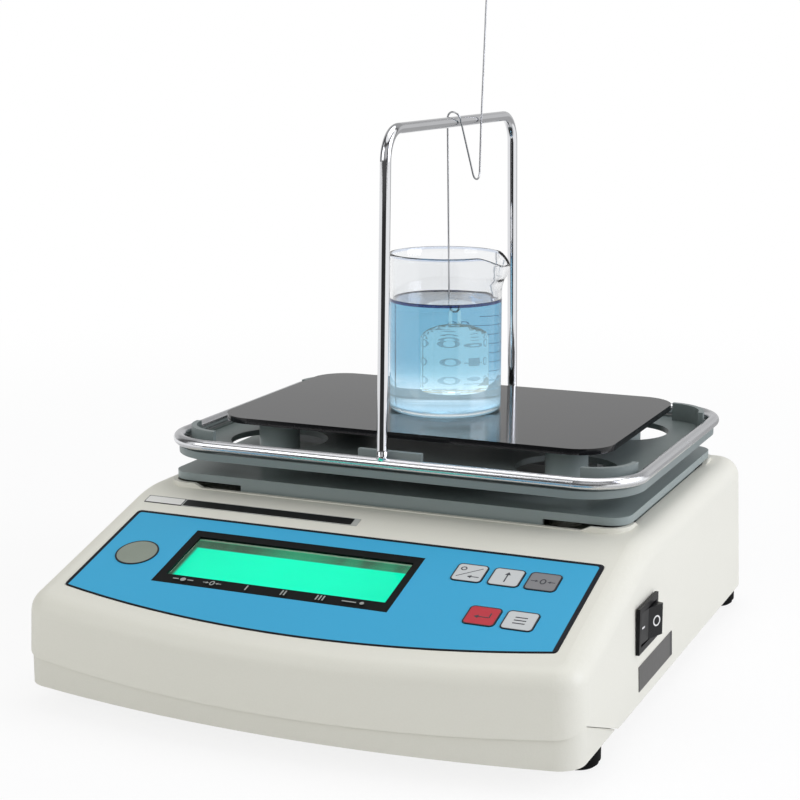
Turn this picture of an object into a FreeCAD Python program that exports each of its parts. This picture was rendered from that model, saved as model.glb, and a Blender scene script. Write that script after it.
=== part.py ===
"""Benchtop liquid density meter: a parametric assembly of its separate pieces.

Frame: +X to the right of a person who faces the keys, +Y to the back, +Z up, millimetres.
The origin is on the bench, below the middle of the case.
"""
import FreeCAD, Part
import Sketcher
import math
import os
from types import SimpleNamespace

V = FreeCAD.Vector
X_AXIS = V(1, 0, 0)
Y_AXIS = V(0, 1, 0)
Z_AXIS = V(0, 0, 1)

# Driving dimensions: alias, value in millimetres (angles in degrees), what it measures.
DRIVING_DIMENSIONS = [
    ("case_half_width", 117.5, "half the width of the case at its lower edge"),
    ("case_front_corner", 121.3, "front corners of the case ahead of the origin"),
    ("case_front_bow", 12.7, "how far the bowed front stands ahead of its corners"),
    ("case_back", 132.3, "back wall of the case behind the origin"),
    ("case_bottom", 9.6, "lower edge of the side walls above the bench"),
    ("case_top", 71.0, "flat ledge round the tray above the bench"),
    ("case_draft", 1.86, "draft angle of the walls"),
    ("case_wall", 2.5, "wall thickness of both shells"),
    ("front_corner_r", 12.0, "upright front corner radius"),
    ("back_corner_r", 12.0, "upright back corner radius"),
    ("top_edge_r", 8.5, "rounding of the top edge"),
    ("crease_r", 60.0, "blend between ledge and slope"),
    ("slope_angle", 16.0, "slope of the key panel"),
    ("slope_foot_y", -109.4, "lower panel corners, Y"),
    ("slope_foot_z", 48.25, "lower panel corners, Z"),
    ("parting_front_z", 17.3, "joint line between the shells, foremost point"),
    ("parting_bend_y", -113.0, "where the joint line ends its rise and starts to fall, Y"),
    ("parting_bend_z", 24.1, "highest point of the joint line, Z"),
    ("parting_end_y", -75.5, "where the joint line reaches the lower edge"),
    ("parting_gap", 0.3, "gap along the joint line"),
    ("band_step", 1.2, "how far the lower shell's front band is set back"),
    ("chassis_bottom", 9.0, "underside of the lower shell above the bench"),
    ("chassis_gap", 0.6, "gap between the lower shell's wall and the upper shell"),
    ("chassis_rim_z", 17.2, "top of the lower shell's wall"),
    ("stage_x", 1.4, "middle of weighing tray, ring, plate and pillars, right of the origin"),
    ("stage_y", 46.0, "middle of the trays, behind the origin"),
    ("rim_half_width", 104.6, "half width of the raised rim round the tray recess"),
    ("rim_half_depth", 74.2, "half depth of the raised rim"),
    ("rim_wall", 2.0, "rim thickness"),
    ("rim_corner_r", 10.0, "rim corner radius"),
    ("rim_top", 72.8, "top of the rim at its corners"),
    ("rim_low_half_x", 86.0, "half length of the lowered stretch at front and back"),
    ("rim_low_half_y", 56.0, "half length of the lowered stretch at the sides"),
    ("rim_low_run", 5.0, "length of the slanted ends of a lowered stretch"),
    ("recess_floor", 63.6, "floor of the tray recess"),
    ("low_tray_half_width", 103.9, "fixed tray, half width"),
    ("low_tray_half_depth", 70.5, "fixed tray, half depth"),
    ("low_tray_corner_r", 9.0, "fixed tray, corner radius"),
    ("low_tray_top", 76.4, "fixed tray, top face"),
    ("low_tray_plate", 3.3, "fixed tray, thickness"),
    ("low_tray_hole_r", 20.0, "fixed tray, middle hole radius"),
    ("skirt_half_x", 69.0, "half length of the fixed tray's front and back skirts"),
    ("skirt_half_y", 48.0, "half length of the fixed tray's side skirts"),
    ("skirt_drop", 3.3, "height of the skirts below the fixed tray"),
    ("skirt_wall", 1.8, "thickness of the skirts"),
    ("pillar_x", 67.2, "pillars right and left of the middle"),
    ("pillar_y", 39.3, "pillars before and behind the middle"),
    ("pillar_r", 9.0, "pillar radius"),
    ("pad_height", 1.0, "height of the pads on the pillars"),
    ("plate_half_width", 89.2, "black plate, half width"),
    ("plate_half_depth", 58.3, "black plate, half depth"),
    ("plate_y", 45.1, "middle of the black plate, behind the origin"),
    ("plate_corner_r", 16.0, "black plate, corner radius"),
    ("plate_top", 100.4, "black plate, top face"),
    ("plate_thick", 2.6, "black plate, thickness"),
    ("pan_half_width", 105.7, "weighing tray, half width"),
    ("pan_half_depth", 80.6, "weighing tray, half depth"),
    ("pan_corner_r", 26.0, "weighing tray, corner radius"),
    ("pan_bottom", 85.3, "weighing tray, underside"),
    ("pan_floor", 87.8, "weighing tray, inner floor"),
    ("pan_lip_top", 88.5, "weighing tray, top of its edge lip"),
    ("pan_lip_width", 3.6, "weighing tray, width of its edge lip"),
    ("pan_hole_r", 21.6, "weighing tray, holes round the pillars"),
    ("rib_centre_x", 83.2, "corner ribs, arc centre from the middle"),
    ("rib_centre_y", 52.5, "corner ribs, arc centre from the middle"),
    ("rib_outer_r", 18.6, "corner ribs, outer radius"),
    ("rib_wall", 2.4, "thickness of ribs and blocks"),
    ("rib_top", 96.0, "top of ribs and blocks"),
    ("block_half", 14.2, "half length of the front and back blocks"),
    ("block_x", 3.4, "middle of the blocks, right of the origin"),
    ("block_face_y", 75.2, "outer face of the blocks from the middle"),
    ("ring_half_width", 105.2, "frame ring, half width to the rod's middle"),
    ("ring_half_depth", 78.5, "frame ring, half depth to the rod's middle"),
    ("ring_corner_r", 22.0, "frame ring, corner radius to the rod's middle"),
    ("ring_rod_r", 2.5, "frame ring, rod radius"),
    ("ring_z", 91.3, "frame ring, rod middle above the bench"),
    ("arch_x", 1.6, "frame arch, right of the origin"),
    ("arch_rod_r", 2.3, "frame arch, rod radius"),
    ("arch_top_half", 74.0, "frame arch, half span at the top"),
    ("arch_top_z", 227.4, "frame arch, middle of the top rod"),
    ("arch_bend_r", 13.0, "frame arch, bend radius"),
    ("beaker_x", -1.0, "beaker axis, right of the origin"),
    ("beaker_y", 43.1, "beaker axis, behind the origin"),
    ("beaker_r", 25.0, "beaker, outer radius"),
    ("beaker_height", 70.0, "beaker, height"),
    ("beaker_wall", 1.4, "beaker, wall thickness"),
    ("beaker_floor", 4.5, "beaker, floor thickness"),
    ("beaker_foot_r", 2.2, "beaker, height and width of the rounding at its foot"),
    ("beaker_hollow_r", 1.4, "beaker, height and width of the rounding inside, at its floor"),
    ("wire_r", 0.4, "hook wire, radius"),
    ("wire_y", 45.5, "hook wire over the arch, behind the origin"),
    ("hook_gap", 0.4, "gap between the hook wire and the sides of the arch rod"),
    ("hook_rise", 1.6, "gap between the top of the arch rod and the hook wire"),
    ("link_half", 1.9, "hook's lower end, half its width"),
    ("link_turn", -21.6, "hook's lower end, its direction in plan from +X"),
    ("sinker_x", 1.3, "sinker axis, right of the origin"),
    ("sinker_r", 11.2, "sinker, radius"),
    ("sinker_bottom", 108.9, "sinker, underside above the bench"),
    ("sinker_shoulder", 133.5, "sinker, top of its straight side"),
    ("sinker_crown", 139.2, "sinker, top of its dome"),
    ("eye_half", 2.0, "sinker's eye, half its width to the rod's middle"),
    ("eye_top", 146.0, "sinker's eye, top of the rod's middle"),
    ("eye_rod_r", 0.6, "sinker's eye, rod radius"),
    ("sheet_half_width", 104.0, "key panel sheet, half width"),
    ("sheet_length", 60.5, "key panel sheet, length up the slope"),
    ("sheet_bow", 12.7, "key panel sheet, bow of its lower edge"),
    ("sheet_thick", 1.0, "key panel sheet, thickness"),
    ("sheet_sunk", 0.6, "how deep the sheet lies in the case"),
    ("bezel_left", -69.6, "display frame, left edge"),
    ("bezel_right", 33.3, "display frame, right edge"),
    ("bezel_low", 10.3, "display frame, lower edge up the slope"),
    ("bezel_high", 50.0, "display frame, upper edge up the slope"),
    ("view_left", -65.8, "display window, left edge"),
    ("view_right", 30.0, "display window, right edge"),
    ("view_low", 16.5, "display window, lower edge up the slope"),
    ("view_high", 45.5, "display window, upper edge up the slope"),
    ("key_width", 12.8, "key, width"),
    ("key_length", 12.2, "key, length up the slope"),
    ("key_gap", 0.15, "gap round each key"),
    ("key_travel", 0.4, "travel of each key"),
    ("rocker_y", -39.2, "rocker switch, middle"),
    ("rocker_z", 40.0, "rocker switch, middle above the bench"),
    ("rocker_tilt", 13.0, "rocker, tilt either side of level"),
    ("foot_x", 106.2, "feet, right and left"),
    ("foot_front_y", -90.5, "front feet"),
    ("foot_back_y", 121.5, "back feet"),
    ("foot_r", 9.0, "feet, knob radius"),
    ("stud_r", 3.0, "feet, stud radius"),
    ("cell_half_length", 55.0, "load cell, half length"),
    ("cell_width", 18.0, "load cell, width"),
    ("cell_bottom", 22.0, "load cell, underside above the bench"),
    ("cell_height", 22.0, "load cell, height"),
    ("hub_r", 12.0, "pan support, post radius"),
]


class Size:
    """A number of the model together with the sheet expression that it comes from."""

    def __init__(self, value, text=None):
        self.value = float(value)
        self.text = text if text is not None else "(%r)" % float(value)

    def __add__(self, other):
        return combine(self, "+", other, self.value + value_of(other))

    def __radd__(self, other):
        return combine(other, "+", self, value_of(other) + self.value)

    def __sub__(self, other):
        return combine(self, "-", other, self.value - value_of(other))

    def __rsub__(self, other):
        return combine(other, "-", self, value_of(other) - self.value)

    def __mul__(self, other):
        return combine(self, "*", other, self.value * value_of(other))

    def __rmul__(self, other):
        return combine(other, "*", self, value_of(other) * self.value)

    def __truediv__(self, other):
        return combine(self, "/", other, self.value / value_of(other))

    def __neg__(self):
        return 0 - self


def size_of(item):
    return item if isinstance(item, Size) else Size(item)


def value_of(item):
    return size_of(item).value


def combine(left, sign, right, value):
    return Size(value, "(%s %s %s)" % (size_of(left).text, sign, size_of(right).text))


def sine(angle):
    return Size(math.sin(math.radians(angle.value)), "sin(%s * 1 deg)" % angle.text)


def cosine(angle):
    return Size(math.cos(math.radians(angle.value)), "cos(%s * 1 deg)" % angle.text)


doc = FreeCAD.newDocument("density_meter")
sheet = doc.addObject("Spreadsheet::Sheet", "Dims")
for row, (alias, value, meaning) in enumerate(DRIVING_DIMENSIONS, start=1):
    sheet.set("A%d" % row, alias)
    sheet.set("B%d" % row, str(value))
    sheet.setAlias("B%d" % row, alias)
    sheet.set("C%d" % row, meaning)
doc.recompute()
d = SimpleNamespace(**{alias: Size(value, "Dims." + alias)
                       for alias, value, meaning in DRIVING_DIMENSIONS})

sub_parts = []


def keep(obj, label):
    """Mark an object as one sub-part of the meter."""
    obj.Label = label
    sub_parts.append(obj)
    return obj


def drive(obj, **sizes):
    """Bind properties of an object to the sheet."""
    for name, size in sizes.items():
        size = size_of(size)
        setattr(obj, name, size.value)
        obj.setExpression(name, size.text)


def place(obj, x=0, y=0, z=0, turn=None):
    """Place an object, with its position bound to the sheet."""
    spot = [size_of(item) for item in (x, y, z)]
    obj.Placement = FreeCAD.Placement(V(*[item.value for item in spot]), turn or FreeCAD.Rotation())
    for axis, item in zip("xyz", spot):
        obj.setExpression(".Placement.Base." + axis, item.text)
    return obj


# Solids from primitives ------------------------------------------------------------------

def box(name, low, high, turn=None):
    """A box between two corners, each given as three sizes."""
    obj = doc.addObject("Part::Box", name)
    drive(obj, Length=high[0] - low[0], Width=high[1] - low[1], Height=high[2] - low[2])
    return place(obj, *low, turn=turn)


def cylinder(name, radius, height, x=0, y=0, z=0, axis=Z_AXIS):
    obj = doc.addObject("Part::Cylinder", name)
    drive(obj, Radius=radius, Height=height)
    return place(obj, x, y, z, FreeCAD.Rotation(Z_AXIS, axis))


def cone(name, radius_low, radius_high, height, x=0, y=0, z=0, axis=Z_AXIS):
    obj = doc.addObject("Part::Cone", name)
    drive(obj, Radius1=radius_low, Radius2=radius_high, Height=height)
    return place(obj, x, y, z, FreeCAD.Rotation(Z_AXIS, axis))


def bend(name, bend_radius, rod_radius, x, y, z, turn):
    """A quarter of a torus: a rod's bend, from the local +X axis to the local +Y axis."""
    obj = doc.addObject("Part::Torus", name)
    drive(obj, Radius1=bend_radius, Radius2=rod_radius)
    obj.Angle3 = 90
    return place(obj, x, y, z, turn)


def fuse(name, *shapes):
    obj = doc.addObject("Part::MultiFuse", name)
    obj.Shapes = list(shapes)
    obj.Refine = True
    return obj


def cut(name, base, *tools):
    obj = doc.addObject("Part::Cut", name)
    obj.Base = base
    obj.Tool = tools[0] if len(tools) == 1 else fuse(name + "_space", *tools)
    obj.Refine = True
    return obj


def common(name, base, tool):
    obj = doc.addObject("Part::Common", name)
    obj.Base = base
    obj.Tool = tool
    return obj


def group(name, *shapes):
    """Like pieces that share one node: a compound of separate solids."""
    obj = doc.addObject("Part::Compound", name)
    obj.Links = list(shapes)
    return obj


# Bodies from sketches --------------------------------------------------------------------

def new_body(name):
    return doc.addObject("PartDesign::Body", name)


def new_sketch(body, name, role="XY_Plane", lift=0):
    """A sketch on one of the body's own planes, lifted off it along its normal."""
    sketch = body.newObject("Sketcher::SketchObject", name)
    plane = [item for item in body.Origin.OriginFeatures if item.Role == role][0]
    sketch.AttachmentSupport = (plane, "")
    sketch.MapMode = "FlatFace"
    lift = size_of(lift)
    sketch.AttachmentOffset = FreeCAD.Placement(V(0, 0, lift.value), FreeCAD.Rotation())
    sketch.setExpression(".AttachmentOffset.Base.z", lift.text)
    return sketch


def pin(sketch, geometry, corner, x, y):
    """Hold one end or centre of a sketch element at a position."""
    for kind, size, axis in (("DistanceX", size_of(x), -2), ("DistanceY", size_of(y), -1)):
        if size.value == 0:
            sketch.addConstraint(Sketcher.Constraint("PointOnObject", geometry, corner, axis))
        else:
            rule = Sketcher.Constraint(kind, -1, 1, geometry, corner, size.value)
            index = sketch.addConstraint(rule)
            sketch.setExpression("Constraints[%d]" % index, size.text)


def trace(sketch, points, sagitta=None):
    """A closed outline through points; a sagitta bows its last side outwards as an arc."""
    first = len(sketch.Geometry)
    spots = [V(value_of(x), value_of(y), 0) for x, y in points]
    count = len(spots)
    for i in range(count):
        start, end = spots[i], spots[(i + 1) % count]
        if i == count - 1 and sagitta is not None:
            middle = (start + end) * 0.5 - V(0, value_of(sagitta), 0)
            sketch.addGeometry(Part.Arc(start, middle, end), False)
        else:
            sketch.addGeometry(Part.LineSegment(start, end), False)
    for i in range(count - 1):
        pin(sketch, first + i, 1, *points[i])
    for i in range(count - 2):
        rule = Sketcher.Constraint("Coincident", first + i, 2, first + i + 1, 1)
        sketch.addConstraint(rule)
    pin(sketch, first + count - 2, 2, *points[-1])
    last = first + count - 1
    if sagitta is None:
        sketch.addConstraint(Sketcher.Constraint("Coincident", first + count - 2, 2, last, 1))
        sketch.addConstraint(Sketcher.Constraint("Coincident", last, 2, first, 1))
        return
    half = (points[0][0] - points[-1][0]) / 2
    radius = (half * half + sagitta * sagitta) / (2 * sagitta)
    sketch.addConstraint(Sketcher.Constraint("Coincident", last, 1, first + count - 2, 2))
    sketch.addConstraint(Sketcher.Constraint("Coincident", last, 2, first, 1))
    index = sketch.addConstraint(Sketcher.Constraint("Radius", last, abs(radius.value)))
    sketch.setExpression("Constraints[%d]" % index, "abs(%s)" % radius.text)


def rectangle(low_x, low_y, high_x, high_y):
    return [(low_x, low_y), (high_x, low_y), (high_x, high_y), (low_x, high_y)]


def circle(sketch, x, y, radius):
    index = sketch.addGeometry(Part.Circle(V(value_of(x), value_of(y), 0), Z_AXIS, value_of(radius)))
    pin(sketch, index, 3, x, y)
    rule = sketch.addConstraint(Sketcher.Constraint("Radius", index, value_of(radius)))
    sketch.setExpression("Constraints[%d]" % rule, size_of(radius).text)


def pad(body, name, sketch, length, taper=None):
    feature = body.newObject("PartDesign::Pad", name)
    feature.Profile = sketch
    drive(feature, Length=length)
    if taper is not None:
        drive(feature, TaperAngle=taper)
    doc.recompute()
    return feature


def pocket(body, name, sketch, length, upwards=False, both_ways=False):
    """Cut a sketch's profile out of the body, and make sure that it did cut."""
    before = body.Shape.Volume
    feature = body.newObject("PartDesign::Pocket", name)
    feature.Profile = sketch
    drive(feature, Length=length)
    feature.Reversed = upwards
    feature.Midplane = both_ways
    doc.recompute()
    if not body.Shape.Volume < before - 1e-6:
        raise RuntimeError(name + " cuts nothing")
    return feature


def turned(name, points, x=0, y=0, z=0):
    """A body of revolution about the upright axis; each point is (radius, height)."""
    body = new_body(name)
    sketch = new_sketch(body, name + "_profile", "XZ_Plane")
    trace(sketch, points)
    turn = body.newObject("PartDesign::Revolution", name + "_turn")
    turn.Profile = sketch
    turn.ReferenceAxis = (sketch, ["V_Axis"])
    turn.Angle = 360
    doc.recompute()
    return place(body, x, y, z)


def round_edges(body, name, radius, chosen):
    """Fillet the edges of the body's last feature that a test picks out."""
    tip = body.Tip
    picked = ["Edge%d" % (i + 1) for i, edge in enumerate(tip.Shape.Edges) if chosen(edge)]
    if not picked:
        raise RuntimeError(name + " finds no edge")
    feature = body.newObject("PartDesign::Fillet", name)
    feature.Base = (tip, picked)
    drive(feature, Radius=radius)
    doc.recompute()
    return feature


def is_upright(edge):
    ends = [vertex.Point for vertex in edge.Vertexes]
    if len(ends) != 2:
        return False
    span = ends[1] - ends[0]
    return abs(span.z) > 0.9 * span.Length


def rounded_block(name, half_width, half_depth, height, radius, x=0, y=0, z=0):
    """An upright block about its own middle, with rounded upright corners."""
    body = new_body(name)
    sketch = new_sketch(body, name + "_outline")
    trace(sketch, rectangle(-half_width, -half_depth, half_width, half_depth))
    pad(body, name + "_pad", sketch, height)
    round_edges(body, name + "_corners", radius, is_upright)
    return place(body, x, y, z)


def prism(name, role, points, length, x=0, y=0, z=0):
    """A prism on a plane of the body, half its length to either side of that plane."""
    body = new_body(name)
    sketch = new_sketch(body, name + "_profile", role)
    trace(sketch, points)
    feature = body.newObject("PartDesign::Pad", name + "_pad")
    feature.Profile = sketch
    drive(feature, Length=length)
    feature.Midplane = True
    doc.recompute()
    return place(body, x, y, z)


# Bent wire -------------------------------------------------------------------------------

def bent_path(corners, radii):
    """A wire of straight runs joined by tangent arcs, one radius for each inner corner."""
    edges = []
    start = corners[0]
    for i, radius in enumerate(radii, start=1):
        before = (corners[i - 1] - corners[i]).normalize()
        after = (corners[i + 1] - corners[i]).normalize()
        turn = math.pi - before.getAngle(after)
        reach = radius * math.tan(turn / 2)
        enter = corners[i] + before * reach
        leave = corners[i] + after * reach
        inwards = (before + after).normalize()
        middle = corners[i] + inwards * (radius / math.cos(turn / 2) - radius)
        if (enter - start).Length > 1e-6:
            edges.append(Part.LineSegment(start, enter).toShape())
        edges.append(Part.Arc(enter, middle, leave).toShape())
        start = leave
    edges.append(Part.LineSegment(start, corners[-1]).toShape())
    return Part.Wire(edges)


def bent_rod(name, corners, radii, rod_radius):
    """A round rod along a bent path. No sketch plane holds such a path, so it is swept here."""
    points = [V(*[value_of(item) for item in corner]) for corner in corners]
    path = bent_path(points, [value_of(radius) for radius in radii])
    first = path.OrderedEdges[0]
    direction = first.tangentAt(first.FirstParameter)
    section = Part.Wire([Part.makeCircle(value_of(rod_radius), points[0], direction)])
    shape = path.makePipeShell([section], True, True)
    expected = math.pi * value_of(rod_radius) ** 2 * path.Length
    if abs(shape.Volume - expected) > 0.01 * expected:
        raise RuntimeError("%s has %.0f mm3, not %.0f" % (name, shape.Volume, expected))
    obj = doc.addObject("Part::Feature", name)
    obj.Shape = shape
    obj.Placement = FreeCAD.Placement()
    return obj


# Places on the sloping panel: x to the right, s up the slope, n out of it -----------------

slope_turn = FreeCAD.Rotation(X_AXIS, d.slope_angle.value)


def on_slope(obj, x=0, s=0, n=0):
    """Place an object whose own frame lies in the sloping face."""
    up, across = sine(d.slope_angle), cosine(d.slope_angle)
    place(obj, x, d.slope_foot_y + s * across - n * up, d.slope_foot_z + s * up + n * across)
    obj.Placement = FreeCAD.Placement(obj.Placement.Base, slope_turn)
    obj.setExpression(".Placement.Rotation.Angle", d.slope_angle.text + " * 1 deg")
    obj.setExpression(".Placement.Rotation.Axis.x", "1")
    obj.setExpression(".Placement.Rotation.Axis.y", "0")
    obj.setExpression(".Placement.Rotation.Axis.z", "0")
    return obj


def slope_box(name, x0, s0, n0, x1, s1, n1):
    """A box lying in the sloping face's frame."""
    obj = doc.addObject("Part::Box", name)
    drive(obj, Length=x1 - x0, Width=s1 - s0, Height=n1 - n0)
    return on_slope(obj, x0, s0, n0)


def slope_cylinder(name, radius, x, s, n0, n1):
    obj = doc.addObject("Part::Cylinder", name)
    drive(obj, Radius=radius, Height=n1 - n0)
    return on_slope(obj, x, s, n0)


# The case --------------------------------------------------------------------------------

def case_outline(inset):
    """Plan of the case, set in by a margin: straight sides and back, bowed front."""
    side = d.case_half_width - inset
    back = d.case_back - inset
    front = -(d.case_front_corner - inset)
    return [(side, front), (side, back), (-side, back), (-side, front)]


def case_corners(body, name, inset):
    """Round the four upright corners of a case form."""
    front_r = d.front_corner_r - inset
    back_r = d.back_corner_r - inset
    round_edges(body, name + "_front_corners", front_r,
                lambda edge: is_upright(edge) and edge.CenterOfMass.y < 0)
    round_edges(body, name + "_back_corners", back_r,
                lambda edge: is_upright(edge) and edge.CenterOfMass.y > 100
                and abs(edge.CenterOfMass.x) > 100)


def case_form(name, inset, bottom):
    """The upper shell's outer form, set in by a margin: sloping front, rounded top edge."""
    body = new_body(name)
    plan = new_sketch(body, name + "_plan", lift=bottom)
    trace(plan, case_outline(inset), sagitta=d.case_front_bow)
    pad(body, name + "_walls", plan, d.case_top + 10 - bottom, taper=-d.case_draft)
    case_corners(body, name, inset)
    top = d.case_top - inset
    rise = sine(d.slope_angle) / cosine(d.slope_angle)
    foot_z = d.slope_foot_z - inset / cosine(d.slope_angle)
    crease_y = d.slope_foot_y + (top - foot_z) / rise
    front_y = -(d.case_front_corner + d.case_front_bow + 20)
    front_z = foot_z + (front_y - d.slope_foot_y) * rise
    back_y = d.case_back + 20
    side = new_sketch(body, name + "_side", "YZ_Plane")
    trace(side, [(front_y, front_z), (crease_y, top), (back_y, top),
                 (back_y, top + 40), (front_y, top + 40)])
    pocket(body, name + "_slope", side, 4 * d.case_half_width, both_ways=True)
    round_edges(body, name + "_crease", d.crease_r,
                lambda edge: edge.Length > 150 and abs(edge.CenterOfMass.y - crease_y.value) < 0.5
                and abs(edge.CenterOfMass.z - top.value) < 0.5)
    shape = body.Tip.Shape
    upward = [face for face in shape.Faces if face_normal(face).z > 0.8]

    def bounds_top(edge):
        hits = [face for face in upward if any(edge.isSame(other) for other in face.Edges)]
        return len(hits) == 1
    round_edges(body, name + "_top_edge", d.top_edge_r - inset, bounds_top)
    return body


def face_normal(face):
    u0, u1, v0, v1 = face.ParameterRange
    return face.normalAt((u0 + u1) / 2, (v0 + v1) / 2)


def parting_prism(name, drop):
    """Everything below the joint line between the two shells."""
    nose_y = -(d.case_front_corner + d.case_front_bow)
    rise = (d.parting_bend_z - d.parting_front_z) / (d.parting_bend_y - nose_y)
    end_y = d.parting_end_y - drop * 3
    points = [(nose_y - 20, 0), (end_y, 0), (end_y, d.case_bottom),
              (d.parting_bend_y, d.parting_bend_z - drop),
              (nose_y - 20, d.parting_front_z - 20 * rise - drop)]
    return prism(name, "YZ_Plane", points, 4 * d.case_half_width)


def rim_notches():
    """What lowers the recess rim between its corners, with slanted ends."""
    low, high = d.case_top, d.rim_top + 5
    notches = []
    for name, role, half in (("rim_low_front_back", "XZ_Plane", d.rim_low_half_x),
                             ("rim_low_sides", "YZ_Plane", d.rim_low_half_y)):
        spread = half + d.rim_low_run * 3
        points = [(-half, low), (half, low), (spread, high), (-spread, high)]
        notches.append(prism(name, role, points, 4 * d.rim_half_width, y=d.stage_y))
    return notches


def pillar_spots():
    """Where the four pillars stand: name, x and y."""
    for row, sign_y in (("front", -1), ("back", 1)):
        for column, sign_x in (("left", -1), ("right", 1)):
            yield (row + "_" + column, d.stage_x + sign_x * d.pillar_x,
                   d.stage_y + sign_y * d.pillar_y)


case_screw_spots = [(sign * 97, y) for y in (-74, 96) for sign in (-1, 1)]
# Display and key layout on the slope: x, s of each key's middle.
key_layout = {
    "key_set": (54.5, 43.2),
    "key_up": (69.6, 43.2),
    "key_zero": (84.4, 43.2),
    "key_enter": (69.7, 16.0),
    "key_function": (84.6, 16.0),
}
display_post_spots = [(x, s) for x in (-76, 38) for s in (8, 53)]
board_post_spots = [(x, y) for x in (-83, -11) for y in (-87, -19)]


def make_top_cover():
    outer = case_form("cover_outer", Size(0), d.case_bottom)
    inner = case_form("cover_inner", d.case_wall, d.case_bottom - 1)
    shell = cut("cover_shell", outer, inner)
    well = rounded_block("tray_well", d.rim_half_width, d.rim_half_depth,
                         d.rim_top - d.recess_floor + d.case_wall, d.rim_corner_r,
                         y=d.stage_y, z=d.recess_floor - d.case_wall)
    posts = [cylinder("case_post_%d" % i, 4.5, d.case_top - 22, x, y, 20)
             for i, (x, y) in enumerate(case_screw_spots)]
    posts += [slope_cylinder("display_post_%d" % i, 3, x, s, -9.2, -1)
              for i, (x, s) in enumerate(display_post_spots)]
    inside_posts = common("inside_posts", outer, fuse("inside_post_stock", *posts))
    bosses = [cylinder("pillar_boss_" + name, 7, d.low_tray_top - d.low_tray_plate - d.recess_floor,
                       x, y, d.recess_floor) for name, x, y in pillar_spots()]
    recess = rounded_block("tray_recess", d.rim_half_width - d.rim_wall,
                           d.rim_half_depth - d.rim_wall, 20, d.rim_corner_r - d.rim_wall,
                           y=d.stage_y, z=d.recess_floor)
    walled = cut("cover_walled", fuse("cover_with_well", shell, inside_posts, well),
                 recess, *rim_notches())
    stock = fuse("cover_stock", walled, *bosses)

    spaces = [parting_prism("cover_front_gap", Size(0))]
    spaces.append(cylinder("hub_hole", d.hub_r + 11, 10, 0, d.stage_y, d.recess_floor - 5))
    for name, x, y in pillar_spots():
        spaces.append(cylinder("pillar_screw_way_" + name, 1.7, 20, x, y, d.recess_floor - 5))
    for i, (x, y) in enumerate(case_screw_spots):
        spaces.append(cylinder("case_screw_way_%d" % i, 1.5, 22, x, y, 10))
    for i, (x, s) in enumerate(display_post_spots):
        spaces.append(slope_cylinder("display_screw_way_%d" % i, 1.0, x, s, -10, -3))
    spaces.append(sheet_form("sheet_seat", 0, -d.sheet_sunk, 10))
    spaces.append(slope_box("display_opening", d.view_left - 1.5, d.view_low - 1.5, -6,
                            d.view_right + 1.5, d.view_high + 1.5, 4))
    for name, (x, s) in key_layout.items():
        spaces.append(slope_box(name + "_well", x - d.key_width / 2 - d.key_gap,
                                s - d.key_length / 2 - d.key_gap, -1.7,
                                x + d.key_width / 2 + d.key_gap,
                                s + d.key_length / 2 + d.key_gap, 4))
    spaces.append(box("rocker_opening", (d.case_half_width - 8, d.rocker_y - 11, d.rocker_z - 7.8),
                      (d.case_half_width + 8, d.rocker_y + 11, d.rocker_z + 7.8)))
    spaces.append(cylinder("jack_opening", 5.6, 20, jack_x, d.case_back + 10, jack_z, -Y_AXIS))
    keep(cut("top_cover", stock, *spaces), "top_cover")


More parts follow.
